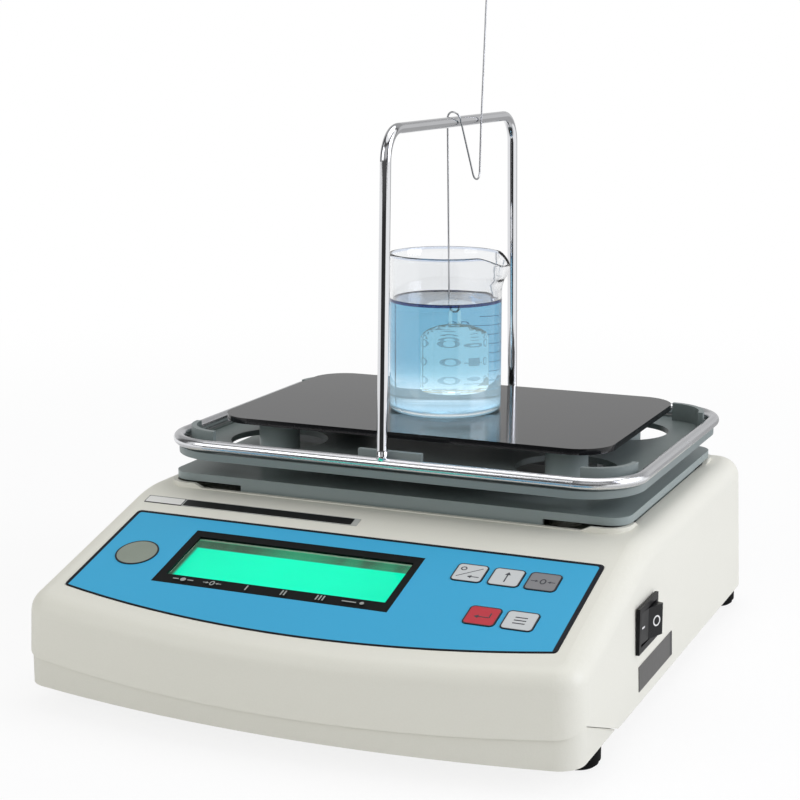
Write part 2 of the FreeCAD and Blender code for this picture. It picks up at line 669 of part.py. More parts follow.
def make_bottom_chassis():
    band = new_body("chassis_band")
    plan = new_sketch(band, "chassis_band_plan", lift=d.chassis_bottom)
    trace(plan, case_outline(d.band_step), sagitta=d.case_front_bow)
    pad(band, "chassis_band_pad", plan, d.parting_bend_z - d.chassis_bottom + 2)
    case_corners(band, "chassis_band", d.band_step)
    front_band = common("chassis_front_band", band,
                        parting_prism("chassis_parting", d.parting_gap))
    reach = d.case_wall + d.chassis_gap
    tub = new_body("chassis_tub")
    plan = new_sketch(tub, "chassis_tub_plan", lift=d.chassis_bottom)
    trace(plan, case_outline(reach), sagitta=d.case_front_bow)
    pad(tub, "chassis_tub_pad", plan, d.chassis_rim_z - d.chassis_bottom)
    case_corners(tub, "chassis_tub", reach)
    hollow = new_body("chassis_hollow")
    plan = new_sketch(hollow, "chassis_hollow_plan", lift=d.chassis_bottom + d.case_wall)
    trace(plan, case_outline(reach + d.case_wall), sagitta=d.case_front_bow)
    pad(hollow, "chassis_hollow_pad", plan, 20)
    case_corners(hollow, "chassis_hollow", reach + d.case_wall)
    tray = cut("chassis_tray", fuse("chassis_stock", front_band, tub), hollow)

    floor = d.chassis_bottom + d.case_wall
    posts = []
    for i, (x, y) in enumerate(foot_spots.values()):
        posts.append(cylinder("foot_boss_%d" % i, 6.5, 8, x, y, floor))
    for i, (x, y) in enumerate(board_post_spots):
        posts.append(cylinder("board_post_%d" % i, 3, board_z - floor, x, y, floor))
    for i, (x, y) in enumerate(case_screw_spots):
        posts.append(cylinder("case_boss_%d" % i, 5, 20 - floor, x, y, floor))
    ways = []
    for i, (x, y) in enumerate(foot_spots.values()):
        ways.append(cylinder("foot_way_%d" % i, 5, 12, x, y, floor + 1))
        ways.append(cylinder("stud_way_%d" % i, 3.6, 12, x, y, d.chassis_bottom - 1))
    for i, (x, y) in enumerate(board_post_spots):
        ways.append(cylinder("board_screw_way_%d" % i, 1.1, board_z - floor, x, y, floor + 1))
    for i, (x, y) in enumerate(case_screw_spots):
        ways.append(cylinder("case_head_way_%d" % i, 3.3, 4, x, y, d.chassis_bottom - 1))
        ways.append(cylinder("case_shank_way_%d" % i, 1.8, 16, x, y, d.chassis_bottom))
    for i, x in enumerate(cell_screw_x(-1)):
        ways.append(cylinder("cell_screw_way_%d" % i, 2.7, 6, x, d.stage_y, d.chassis_bottom - 1))
    ways.append(cylinder("stop_way", 2.05, 6, stop_x, d.stage_y, d.chassis_bottom - 1))
    keep(cut("bottom_chassis", fuse("chassis_with_posts", tray, *posts), *ways), "bottom_chassis")


def cell_screw_x(side):
    """Where the two screws at one end of the load cell stand."""
    return [side * (d.cell_half_length - 7), side * (d.cell_half_length - 19)]


# The key panel, the display and the name strip -------------------------------------------

def sheet_form(name, margin, low, high):
    """The key panel sheet's outline between two levels: straight top, bowed lower edge."""
    low, high = size_of(low), size_of(high)
    body = new_body(name)
    sketch = new_sketch(body, name + "_outline", lift=low)
    side = d.sheet_half_width + margin
    trace(sketch, [(side, 0 - size_of(margin)), (side, d.sheet_length + margin),
                   (-side, d.sheet_length + margin), (-side, 0 - size_of(margin))],
          sagitta=d.sheet_bow)
    pad(body, name + "_pad", sketch, high - low)
    round_edges(body, name + "_corners", 2, is_upright)
    return on_slope(body)


def rounded_slab(name, half_width, half_length, low, high, radius, x, s):
    """A slab in the slope's frame, with rounded corners."""
    body = new_body(name)
    sketch = new_sketch(body, name + "_outline")
    trace(sketch, rectangle(-half_width, -half_length, half_width, half_length))
    pad(body, name + "_pad", sketch, high - low)
    round_edges(body, name + "_corners", radius, is_upright)
    return on_slope(body, x, s, low)


def make_key_panel():
    stock = sheet_form("sheet_stock", -0.2, -d.sheet_sunk, d.sheet_thick - d.sheet_sunk)
    spaces = [slope_box("bezel_opening", d.bezel_left, d.bezel_low, -2, d.bezel_right,
                        d.bezel_high, 2)]
    for name, (x, s) in key_layout.items():
        spaces.append(rounded_slab(name + "_window", d.key_width / 2 + d.key_gap,
                                   d.key_length / 2 + d.key_gap, size_of(-2), size_of(2), 2.2,
                                   x, s))
    keep(cut("membrane_panel", stock, *spaces), "membrane_panel")

    for name, (x, s) in key_layout.items():
        key = rounded_slab(name + "_cap", d.key_width / 2, d.key_length / 2, size_of(0),
                           d.sheet_thick - d.sheet_sunk + 0.3, 2, x, s)
        keep(key, name)
    domes = []
    for name, (x, s) in key_layout.items():
        obj = doc.addObject("Part::Cone", name + "_dome")
        drive(obj, Radius1=5, Radius2=2, Height=1.1)
        domes.append(on_slope(obj, x, s, -1.7))
    keep(group("key_domes", *domes), "key_domes")


def make_display():
    top = d.sheet_thick - d.sheet_sunk
    frame = slope_box("bezel_stock", d.bezel_left + 0.1, d.bezel_low + 0.1, -d.sheet_sunk,
                      d.bezel_right - 0.1, d.bezel_high - 0.1, top)
    view = slope_box("bezel_view", d.view_left, d.view_low, -2, d.view_right, d.view_high, 2)
    keep(cut("display_frame", frame, view), "display_frame")
    window = slope_box("window_pane", d.view_left - 1.4, d.view_low - 1.4, -d.sheet_sunk - 1,
                       d.view_right + 1.4, d.view_high + 1.4, -d.sheet_sunk)
    keep(window, "display_window")
    glass = slope_box("lcd_pane", d.view_left - 3, d.view_low - 3, -5.2,
                      d.view_right + 3, d.view_high + 3, -2.6)
    keep(glass, "lcd_glass")
    light = slope_box("lcd_light", d.view_left - 3, d.view_low - 3, -9.2,
                      d.view_right + 3, d.view_high + 3, -5.2)
    keep(light, "lcd_backlight")
    board = slope_box("display_board_pane", -82, 2, -10.8, 91, 57, -9.2)
    holes = [slope_cylinder("display_board_hole_%d" % i, 1.4, x, s, -12, -8)
             for i, (x, s) in enumerate(display_post_spots)]
    socket = slope_box("ribbon_socket", 50, 20, -13, 78, 26, -10.8)
    keep(cut("display_board_drilled", fuse("display_board_stock", board, socket), *holes),
         "display_board")
    screws = []
    for i, (x, s) in enumerate(display_post_spots):
        head = slope_cylinder("display_screw_head_%d" % i, 2.2, x, s, -12.2, -10.8)
        shank = slope_cylinder("display_screw_shank_%d" % i, 1.0, x, s, -10.8, -5.5)
        screws.append(fuse("display_screw_%d" % i, head, shank))
    keep(group("display_screws", *screws), "display_screws")
    badge = slope_cylinder("badge_disc", 9.1, -86.2, 28.2, top, top + 0.3)
    keep(badge, "round_badge")
    strip = slope_box("strip_pane", -105.6, 67.6, 0, -4.8, 73.0, 0.3)
    keep(strip, "name_strip")


# Rocker switch, side label and power inlet -----------------------------------------------

wall_slope = FreeCAD.Rotation(Y_AXIS, -d.case_draft.value)
jack_x = -70
jack_z = 34


def wall_x(z):
    """The right wall's outer face at a height."""
    return d.case_half_width - (z - d.case_bottom) * sine(d.case_draft) / cosine(d.case_draft)


def make_rocker():
    x = wall_x(d.rocker_z)
    y, z = d.rocker_y, d.rocker_z
    bezel = box("rocker_bezel", (x + 0.35, y - 12.9, z - 9.25), (x + 1.8, y + 12.9, z + 9.25))
    barrel = box("rocker_barrel", (x - 20, y - 10.9, z - 7.7), (x + 0.35, y + 10.9, z + 7.7))
    hollow = box("rocker_hollow", (x - 12, y - 10.4, z - 6.8), (x + 3, y + 10.4, z + 6.8))
    blades = [box("rocker_blade_%d" % i, (x - 29, y + v - 2.4, z - 0.4), (x - 20, y + v + 2.4, z + 0.4))
              for i, v in enumerate((-6, 6))]
    keep(cut("rocker_shell", fuse("rocker_stock", bezel, barrel, *blades), hollow),
         "rocker_housing")
    # Own frame of the paddle: pivot at the origin, outwards along +X, its two faces meeting
    # in a shallow valley.
    paddle = new_body("rocker_paddle_body")
    sketch = new_sketch(paddle, "rocker_paddle_profile")
    half = Size(9.6)
    trace(sketch, [(Size(3.9), -half), (Size(2.4), Size(0)), (Size(3.9), half), (Size(-1.5), half),
                   (Size(-6.5), Size(3)), (Size(-6.5), Size(-3)), (Size(-1.5), -half)])
    pad(paddle, "rocker_paddle_pad", sketch, Size(12.6))
    round_edges(paddle, "rocker_paddle_ends", 0.8,
                lambda edge: is_upright(edge) and edge.CenterOfMass.x > 3)
    place(paddle, x - 0.6, y, z - 6.3, FreeCAD.Rotation(Z_AXIS, -d.rocker_tilt.value))
    keep(paddle, "rocker_paddle")


def make_side_label():
    low_z = 14.5
    x = wall_x(Size(low_z))
    label = box("side_label_pane", (x, -48, low_z), (x + 0.3, 0.3, 24.6), turn=wall_slope)
    keep(label, "side_label")


def make_power_inlet():
    wall = d.case_back - 0.5
    flange = cylinder("jack_flange", 7, 1.5, jack_x, wall + 1.5, jack_z, -Y_AXIS)
    barrel = cylinder("jack_barrel", 5.5, 18, jack_x, wall, jack_z, -Y_AXIS)
    mouth = cylinder("jack_mouth", 2.8, 12, jack_x, wall + 2, jack_z, -Y_AXIS)
    core = cylinder("jack_core", 1.0, 11, jack_x, wall - 0.5, jack_z, -Y_AXIS)
    hollow = cut("jack_shell", fuse("jack_stock", flange, barrel), mouth)
    keep(fuse("jack_body", hollow, core), "power_jack")
    inner_wall = d.case_back - d.case_wall - 1.2
    ring = cylinder("jack_nut_ring", 8, 2.5, jack_x, inner_wall, jack_z, -Y_AXIS)
    hole = cylinder("jack_nut_hole", 5.55, 4, jack_x, inner_wall + 0.5, jack_z, -Y_AXIS)
    keep(cut("jack_nut_body", ring, hole), "jack_nut")


# Load cell and what it carries -----------------------------------------------------------

stop_x = 48
board_z = 20


def make_load_cell():
    cell = d.cell_half_length
    half = d.cell_width / 2
    floor = d.chassis_bottom + d.case_wall
    riser = box("riser_stock", (-cell, d.stage_y - half, floor),
                (-cell + 26, d.stage_y + half, d.cell_bottom))
    holes = [cylinder("riser_hole_%d" % i, 2.2, 20, x, d.stage_y, floor - 1)
             for i, x in enumerate(cell_screw_x(-1))]
    keep(cut("riser", riser, *holes), "load_cell_riser")

    beam = box("cell_beam", (-cell, d.stage_y - half, d.cell_bottom),
               (cell, d.stage_y + half, d.cell_bottom + d.cell_height))
    middle_z = d.cell_bottom + d.cell_height / 2
    bores = []
    for i, x in enumerate((-12, 12)):
        bores.append(cylinder("cell_bore_%d" % i, 7.5, 40, x, d.stage_y + 20, middle_z, -Y_AXIS))
    bores.append(box("cell_slot", (-12, d.stage_y - 20, middle_z - 2),
                     (12, d.stage_y + 20, middle_z + 2)))
    for i, x in enumerate(cell_screw_x(-1)):
        bores.append(cylinder("cell_hole_low_%d" % i, 2.05, 9, x, d.stage_y, d.cell_bottom - 1))
    for i, x in enumerate(cell_screw_x(1)):
        bores.append(cylinder("cell_hole_high_%d" % i, 2.4, 12, x, d.stage_y,
                              d.cell_bottom + d.cell_height - 10))
    keep(cut("cell_cut", beam, *bores), "load_cell")

    screws = []
    for i, x in enumerate(cell_screw_x(-1)):
        head = cylinder("cell_screw_head_%d" % i, 2.6, 2.4, x, d.stage_y, d.chassis_bottom)
        shank = cylinder("cell_screw_shank_%d" % i, 2.0, d.cell_bottom - d.chassis_bottom + 4.6,
                         x, d.stage_y, d.chassis_bottom + 2.4)
        screws.append(fuse("cell_screw_%d" % i, head, shank))
    keep(group("cell_screws", *screws), "load_cell_screws")
    keep(fuse("stop_screw", cylinder("stop_shank", 2.0, d.cell_bottom - 0.7 - d.chassis_bottom,
                                     stop_x, d.stage_y, d.chassis_bottom),
              cylinder("stop_nut", 3.5, 3, stop_x, d.stage_y, floor)), "overload_stop")


def make_pan_support():
    cell_top = d.cell_bottom + d.cell_height
    half = d.cell_width / 2
    block = box("support_block", (d.cell_half_length - 26, d.stage_y - half, cell_top + 0.05),
                (d.cell_half_length, d.stage_y + half, cell_top + 4))
    bracket = box("support_bracket", (-14, d.stage_y - 14, cell_top + 4),
                  (d.cell_half_length, d.stage_y + 14, cell_top + 8))
    arms_z = d.pan_bottom - 6
    post = cylinder("support_post", d.hub_r, arms_z - cell_top - 8, 0, d.stage_y, cell_top + 8)
    long_arm = box("support_arm_x", (-72, d.stage_y - 7, arms_z), (72, d.stage_y + 7, arms_z + 4))
    cross_arm = box("support_arm_y", (-7, d.stage_y - 52, arms_z), (7, d.stage_y + 52, arms_z + 4))
    holes = [cylinder("support_hole_%d" % i, 2.2, 12, x, d.stage_y, cell_top)
             for i, x in enumerate(cell_screw_x(1))]
    stock = fuse("support_stock", block, bracket, post, long_arm, cross_arm)
    keep(cut("support_body", stock, *holes), "pan_support")
    pads = [cylinder("support_pad_%d" % i, 5, 2, x, d.stage_y + y, arms_z + 4)
            for i, (x, y) in enumerate(((-65, 0), (65, 0), (0, -45), (0, 45)))]
    keep(group("support_pads", *pads), "pan_support_pads")
    screws = []
    for i, x in enumerate(cell_screw_x(1)):
        head = cylinder("support_screw_head_%d" % i, 3.6, 3, x, d.stage_y, cell_top + 8)
        shank = cylinder("support_screw_shank_%d" % i, 2.0, 16, x, d.stage_y, cell_top - 8)
        screws.append(fuse("support_screw_%d" % i, head, shank))
    keep(group("support_screws", *screws), "pan_support_screws")


# Trays, plate, frame ---------------------------------------------------------------------

def make_lower_tray():
    bottom = d.low_tray_top - d.low_tray_plate
    plate = rounded_block("low_tray_plate", d.low_tray_half_width, d.low_tray_half_depth,
                          d.low_tray_plate, d.low_tray_corner_r, y=d.stage_y, z=bottom)
    half_x, half_y, wall = d.low_tray_half_width, d.low_tray_half_depth, d.skirt_wall
    skirts = []
    for i, sign in enumerate((-1, 1)):
        y = [d.stage_y + sign * half_y, d.stage_y + sign * (half_y - wall)][::-sign]
        skirts.append(box("skirt_y_%d" % i, (-d.skirt_half_x, y[0], bottom - d.skirt_drop),
                          (d.skirt_half_x, y[1], bottom)))
        x = [sign * (half_x - 2.4), sign * (half_x - 2.4 - wall)][::-sign]
        skirts.append(box("skirt_x_%d" % i,
                          (x[0], d.stage_y - d.skirt_half_y, bottom - d.skirt_drop),
                          (x[1], d.stage_y + d.skirt_half_y, bottom)))
    pillar_top = d.plate_top - d.plate_thick - d.pad_height
    pillars, ways = [], []
    for name, x, y in pillar_spots():
        pillars.append(cylinder("pillar_" + name, d.pillar_r, pillar_top - d.low_tray_top,
                                x, y, d.low_tray_top))
        ways.append(cylinder("pillar_way_" + name, 1.5, 15, x, y, bottom - 1))
    ways.append(cylinder("low_tray_hole", d.low_tray_hole_r, 10, 0, d.stage_y, bottom - 3))
    keep(cut("low_tray_body", fuse("low_tray_stock", plate, *skirts, *pillars), *ways),
         "lower_tray")
    pads = [cylinder("plate_pad_" + name, 7, d.pad_height, x, y, pillar_top)
            for name, x, y in pillar_spots()]
    keep(group("plate_pads", *pads), "plate_pads")
    screws = []
    for name, x, y in pillar_spots():
        head_z = d.recess_floor - d.case_wall - 2.4
        head = cylinder("tray_screw_head_" + name, 3.2, 2.4, x, y, head_z)
        shank = cylinder("tray_screw_shank_" + name, 1.45, 22, x, y, head_z + 2.4)
        screws.append(fuse("tray_screw_" + name, head, shank))
    keep(group("tray_screws", *screws), "lower_tray_screws")


def make_weighing_tray():
    stock = rounded_block("pan_stock", d.pan_half_width, d.pan_half_depth,
                          d.pan_lip_top - d.pan_bottom, d.pan_corner_r, d.stage_x, d.stage_y,
                          d.pan_bottom)
    dish = rounded_block("pan_dish", d.pan_half_width - d.pan_lip_width,
                         d.pan_half_depth - d.pan_lip_width, 5,
                         d.pan_corner_r - d.pan_lip_width, d.stage_x, d.stage_y, d.pan_floor)
    floor = cut("pan_floor", stock, dish)
    rib_height = d.rib_top - d.pan_floor + 0.5
    ribs = []
    for i, (sign_x, sign_y) in enumerate(((1, 1), (-1, 1), (-1, -1), (1, -1))):
        x, y = d.stage_x + sign_x * d.rib_centre_x, d.stage_y + sign_y * d.rib_centre_y
        outer = cylinder("rib_outer_%d" % i, d.rib_outer_r, rib_height, x, y, d.pan_floor - 0.5)
        inner = cylinder("rib_inner_%d" % i, d.rib_outer_r - d.rib_wall, rib_height + 2,
                         x, y, d.pan_floor - 1)
        ring = cut("rib_ring_%d" % i, outer, inner)
        far = d.rib_outer_r + 5
        low_x = x if sign_x > 0 else x - far
        low_y = y if sign_y > 0 else y - far
        quarter = box("rib_quarter_%d" % i, (low_x, low_y, d.pan_floor - 2),
                      (low_x + far, low_y + far, d.rib_top + 2))
        ribs.append(common("rib_%d" % i, ring, quarter))
    face = d.block_face_y
    for i, sign in enumerate((-1, 1)):
        y = [d.stage_y + sign * face, d.stage_y + sign * (face - d.rib_wall)][::-sign]
        ribs.append(box("block_%d" % i, (d.block_x - d.block_half, y[0], d.pan_floor - 0.5),
                        (d.block_x + d.block_half, y[1], d.rib_top)))
    holes = [cylinder("pan_hole_" + name, d.pan_hole_r, 10, x, y, d.pan_bottom - 2)
             for name, x, y in pillar_spots()]
    keep(fuse("pan_body", cut("pan_drilled", floor, *holes), *ribs), "weighing_tray")


def make_frame():
    half_x, half_y, r = d.ring_half_width, d.ring_half_depth, d.ring_corner_r
    rod, z = d.ring_rod_r, d.ring_z
    pieces = []
    for i, sign in enumerate((-1, 1)):
        pieces.append(cylinder("ring_side_%d" % i, rod, 2 * (half_y - r),
                               d.stage_x + sign * half_x, d.stage_y - half_y + r, z, Y_AXIS))
        pieces.append(cylinder("ring_front_%d" % i, rod, 2 * (half_x - r),
                               d.stage_x - half_x + r, d.stage_y + sign * half_y, z, X_AXIS))
    quarters = (((1, 1), 0), ((-1, 1), 90), ((-1, -1), 180), ((1, -1), 270))
    for i, ((sign_x, sign_y), angle) in enumerate(quarters):
        pieces.append(bend("ring_bend_%d" % i, r, rod, d.stage_x + sign_x * (half_x - r),
                           d.stage_y + sign_y * (half_y - r), z, FreeCAD.Rotation(Z_AXIS, angle)))
    keep(fuse("ring_body", *pieces), "frame_ring")

    top = d.arch_top_half
    corners = [(d.arch_x, d.stage_y - half_y, z), (d.arch_x, d.stage_y - top, d.arch_top_z),
               (d.arch_x, d.stage_y + top, d.arch_top_z), (d.arch_x, d.stage_y + half_y, z)]
    keep(bent_rod("arch_body", corners, [d.arch_bend_r, d.arch_bend_r], d.arch_rod_r),
         "frame_arch")


def make_plate_and_beaker():
    keep(rounded_block("plate_body", d.plate_half_width, d.plate_half_depth, d.plate_thick,
                       d.plate_corner_r, d.stage_x, d.plate_y, d.plate_top - d.plate_thick),
         "beaker_plate")

    r, wall, floor, high = d.beaker_r, d.beaker_wall, d.beaker_floor, d.beaker_height
    foot, hollow = d.beaker_foot_r, d.beaker_hollow_r
    cup = turned("beaker_cup", [(Size(0), Size(0)), (r - foot, Size(0)),
                                (r - foot * 0.3, foot * 0.3), (r, foot), (r, high - 3),
                                (r + 1, high - 0.4), (r + 0.6, high), (r - wall, high),
                                (r - wall, floor + hollow), (r - wall - hollow, floor),
                                (Size(0), floor)],
                 d.beaker_x, d.beaker_y, d.plate_top)
    # The spout is a slanting trough whose lip falls a little below the rim.
    lean_angle, fall_angle = 22, 17
    lean = V(math.sin(math.radians(lean_angle)), 0, math.cos(math.radians(lean_angle)))
    start_x, start_z = d.beaker_x + 12.6, d.plate_top + high - 14
    spout = cylinder("spout_outer", 9.0, 24, start_x, d.beaker_y, start_z, lean)
    way = cylinder("spout_way", 7.8, 30, start_x, d.beaker_y, start_z, lean)
    above = box("spout_above", (d.beaker_x, d.beaker_y - 12, d.plate_top + high),
                (d.beaker_x + 2 * r, d.beaker_y + 12, d.plate_top + high + 30))
    fall = box("spout_fall", (d.beaker_x + r - wall - 3, d.beaker_y - 12, d.plate_top + high),
               (d.beaker_x + 2 * r, d.beaker_y + 12, d.plate_top + high + 30),
               turn=FreeCAD.Rotation(Y_AXIS, fall_angle))
    inside = cylinder("spout_inside", r - wall, high + 10, d.beaker_x, d.beaker_y,
                      d.plate_top + floor + 3)
    lip = cut("spout_lip", spout, above, fall, inside, way)
    keep(cut("beaker_body", fuse("beaker_stock", cup, lip), way), "beaker")


def make_sinker_and_hook():
    r, bottom, shoulder, crown = d.sinker_r, d.sinker_bottom, d.sinker_shoulder, d.sinker_crown
    x, y = d.sinker_x, d.wire_y
    rise = crown - shoulder
    flank = turned("sinker_glass", [(Size(0), bottom), (r - 1.6, bottom), (r - 0.5, bottom + 0.5),
                                    (r, bottom + 1.6), (r, shoulder - 0.4),
                                    (r * 0.93, shoulder + rise * 0.27),
                                    (r * 0.78, shoulder + rise * 0.57),
                                    (r * 0.5, shoulder + rise * 0.87), (r * 0.22, crown),
                                    (Size(0), crown)], x, y)

    # The hook's lower end and the sinker's eye are links of a chain, so they cross.
    along = V(math.cos(math.radians(d.link_turn.value)), math.sin(math.radians(d.link_turn.value)), 0)
    across = V(-along.y, along.x, 0)
    half, root = d.eye_half, crown - 1
    eye = bent_rod("sinker_eye", [(x - half * across.x, y - half * across.y, root),
                                  (x - half * across.x, y - half * across.y, d.eye_top),
                                  (x + half * across.x, y + half * across.y, d.eye_top),
                                  (x + half * across.x, y + half * across.y, root)],
                   [half * 0.98, half * 0.98], d.eye_rod_r)
    keep(fuse("sinker_body", flank, eye), "sinker")

    # The hook passes under the top of the eye, 0.3 mm clear of it, and over the arch.
    wire, half = d.wire_r, d.link_half
    x_back = d.arch_x - d.arch_rod_r - wire - d.hook_gap
    x_front = d.arch_x + d.arch_rod_r + wire + d.hook_gap
    over = d.arch_top_z + d.arch_rod_r + wire + d.hook_rise
    low = d.eye_top - d.eye_rod_r - wire - 0.3
    near, far = (x - half * along.x, y - half * along.y), (x + half * along.x, y + half * along.y)
    loop = (x_front - x_back) / 2
    corners = [
        (*far, low + 5.2),
        (*far, low),
        (*near, low),
        (x_back, y, over),
        (x_front, y - 2.2, over),
        (x_front, y + 17.0, over - 30.5),
        (x_front, y + 23.5, over - 30.5),
        (x_front, y + 24.8, over - 8),
        (x_front, y + 31.2, over + 58),
        (x_front, y + 37.4, over + 58),
        (x_front, y + 37.4, over + 50),
    ]
    radii = [half * 0.98, half * 0.98, loop * 0.92, loop * 0.92, 5.8, 3.1, 60, 2.9, 2.9]
    keep(bent_rod("hook_rod", corners, radii, wire), "hook_wire")


# Feet, boards and wiring -----------------------------------------------------------------

foot_spots = {
    "front_left": (-d.foot_x, d.foot_front_y),
    "front_right": (d.foot_x, d.foot_front_y),
    "back_left": (-d.foot_x, d.foot_back_y),
    "back_right": (d.foot_x, d.foot_back_y),
}


def make_feet():
    floor = d.chassis_bottom + d.case_wall
    inserts = []
    for name, (x, y) in foot_spots.items():
        knob = turned("knob_" + name, [(Size(0), Size(0)), (d.foot_r - 1.8, Size(0)),
                                       (d.foot_r - 0.8, Size(0.8)), (d.foot_r - 0.8, Size(2)),
                                       (d.foot_r, Size(2.4)), (d.foot_r, Size(6.6)),
                                       (d.foot_r - 0.8, Size(7.4)), (Size(0), Size(7.4))], x, y)
        bore = cylinder("knob_bore_" + name, d.stud_r, 10, x, y, 2.5)
        keep(cut("foot_" + name, knob, bore), "foot_knob_" + name)
        stud = cylinder("stud_" + name, d.stud_r, 18, x, y, 2.5)
        keep(stud, "foot_stud_" + name)
        insert = cylinder("insert_stock_" + name, 5, 7, x, y, floor + 1)
        way = cylinder("insert_way_" + name, d.stud_r + 0.05, 20, x, y, floor - 2)
        inserts.append(cut("insert_" + name, insert, way))
    keep(group("foot_inserts", *inserts), "foot_inserts")


def make_main_board():
    board = box("board_pane", (-88, -92, board_z), (-6, -14, board_z + 1.6))
    parts = [
        box("board_chip", (-54, -62, board_z + 1.6), (-40, -48, board_z + 4)),
        box("board_converter", (-70, -34, board_z + 1.6), (-58, -26, board_z + 4.6)),
        box("board_ribbon_socket", (-30, -86, board_z + 1.6), (-20, -56, board_z + 8)),
        box("board_cell_socket", (-20, -30, board_z + 1.6), (-10, -22, board_z + 8)),
        box("board_power_socket", (-84, -60, board_z + 1.6), (-76, -44, board_z + 8)),
        cylinder("board_capacitor_a", 5, 12, -70, -76, board_z + 1.6),
        cylinder("board_capacitor_b", 4, 10, -56, -78, board_z + 1.6),
    ]
    holes = [cylinder("board_hole_%d" % i, 1.4, 6, x, y, board_z - 2)
             for i, (x, y) in enumerate(board_post_spots)]
    keep(cut("board_body", fuse("board_stock", board, *parts), *holes), "main_board")
    screws = []
    for i, (x, y) in enumerate(board_post_spots):
        head = cylinder("board_screw_head_%d" % i, 2.4, 1.8, x, y, board_z + 1.6)
        shank = cylinder("board_screw_shank_%d" % i, 1.05, 7.6, x, y, board_z - 6)
        screws.append(fuse("board_screw_%d" % i, head, shank))
    keep(group("board_screws", *screws), "board_screws")


def make_case_screws():
    screws = []
    for i, (x, y) in enumerate(case_screw_spots):
        head = cylinder("case_screw_head_%d" % i, 3.1, 2.4, x, y, d.chassis_bottom + 0.4)
        shank = cylinder("case_screw_shank_%d" % i, 1.45, 16, x, y, d.chassis_bottom + 2.8)
        screws.append(fuse("case_screw_%d" % i, head, shank))
    keep(group("case_screws", *screws), "case_screws")


def make_cables():
    top = board_z + 8
    ribbon = [(-25, -80, top), (-25, -80, top + 9), (20, -90, top + 9), (62, -83.7, 36),
              (62, -83.7, 41.6)]
    keep(bent_rod("display_lead", ribbon, [4, 8, 3.5], 1.5), "display_cable")
    cell = [(-20, d.stage_y, d.cell_bottom + d.cell_height), (-20, d.stage_y, 50),
            (-15, 20, 50), (-15, -26, 44), (-15, -26, top)]
    keep(bent_rod("cell_lead", cell, [2.5, 8, 6], 1.2), "load_cell_cable")
    jack = [(jack_x, d.case_back - 18.5, jack_z), (jack_x, d.case_back - 34, jack_z),
            (-80, 60, 34), (-80, -52, 34), (-80, -52, top)]
    keep(bent_rod("jack_lead", jack, [8, 12, 3], 1.3), "power_cable")
    x = wall_x(d.rocker_z) - 29
    switch = [(x, d.rocker_y - 6, d.rocker_z), (x - 10, d.rocker_y - 6, d.rocker_z),
              (60, -60, 32), (0, -70, 32), (-80, -64, 34), (-80, -56, 34), (-80, -56, top)]
    keep(bent_rod("switch_lead", switch, [6, 14, 14, 3, 3], 1.0), "switch_cable")


make_top_cover()
make_bottom_chassis()
make_key_panel()
make_display()
make_rocker()
make_side_label()
make_power_inlet()
make_load_cell()
make_pan_support()
make_lower_tray()
make_weighing_tray()
make_frame()
make_plate_and_beaker()
make_sinker_and_hook()
make_feet()
make_main_board()
make_case_screws()
make_cables()
doc.recompute()

faults = [obj.Name for obj in doc.Objects if "Invalid" in obj.State or "Error" in obj.State]
if faults:
    raise RuntimeError("these objects failed: " + ", ".join(faults))
os.makedirs("parts", exist_ok=True)
for part in sub_parts:
    if part.Shape.isNull() or not part.Shape.isValid():
        raise RuntimeError(part.Label + " has no valid shape")
    part.Shape.exportStep(os.path.join("parts", part.Label + ".step"))
    print("%-24s %3d solid(s) %10.0f mm3" % (part.Label, len(part.Shape.Solids), part.Shape.Volume))
print(len(sub_parts), "sub-parts")
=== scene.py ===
import math

import bpy
import bmesh
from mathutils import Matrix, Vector


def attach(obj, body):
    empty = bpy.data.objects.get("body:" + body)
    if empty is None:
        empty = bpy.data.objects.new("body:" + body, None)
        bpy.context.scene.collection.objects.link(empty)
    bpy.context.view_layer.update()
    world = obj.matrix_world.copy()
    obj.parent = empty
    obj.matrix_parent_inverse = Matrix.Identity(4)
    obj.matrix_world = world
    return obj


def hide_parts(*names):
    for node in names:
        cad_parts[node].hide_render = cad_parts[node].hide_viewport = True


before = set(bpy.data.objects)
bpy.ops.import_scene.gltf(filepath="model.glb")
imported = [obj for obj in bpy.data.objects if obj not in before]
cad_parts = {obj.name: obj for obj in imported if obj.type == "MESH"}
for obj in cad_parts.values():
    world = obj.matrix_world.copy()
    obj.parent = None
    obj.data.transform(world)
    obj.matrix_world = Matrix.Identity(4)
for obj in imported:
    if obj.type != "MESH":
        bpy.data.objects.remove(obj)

bl_info = {
    "name": "Bench density meter",
    "version": (1, 0, 0),
    "blender": (4, 5, 0),
    "location": "3D View > Sidebar > Density meter",
    "description": "Glass, wire, printed marks and finishes of a bench density meter, with its stage",
    "category": "Object",
}

MM = 0.001

# The sloping front of the case: a point on it and its tilt.  Places on it are given as
# x across and s up the slope.
SLOPE_TILT = math.radians(16)
SLOPE_Y, SLOPE_Z = -109.4 * MM, 48.25 * MM
PANEL_HALF, PANEL_TOP, PANEL_BOW = 104.0, 60.5, 12.7
KEY_WIDTH, KEY_HEIGHT, KEY_CORNER = 12.8, 12.2, 2.0
KEYS = {
    "key_set": (54.5, 43.2),
    "key_up": (69.6, 43.2),
    "key_zero": (84.4, 43.2),
    "key_enter": (69.7, 16.0),
    "key_function": (84.6, 16.0),
}
WINDOW = (-65.8, 30.0, 16.5, 45.5)
BADGE_X, BADGE_S, BADGE_R = -86.2, 28.2, 9.1
ROCKER_PIVOT = (115.91, -39.2, 40.0)
ROCKER_TILT = math.radians(-13)
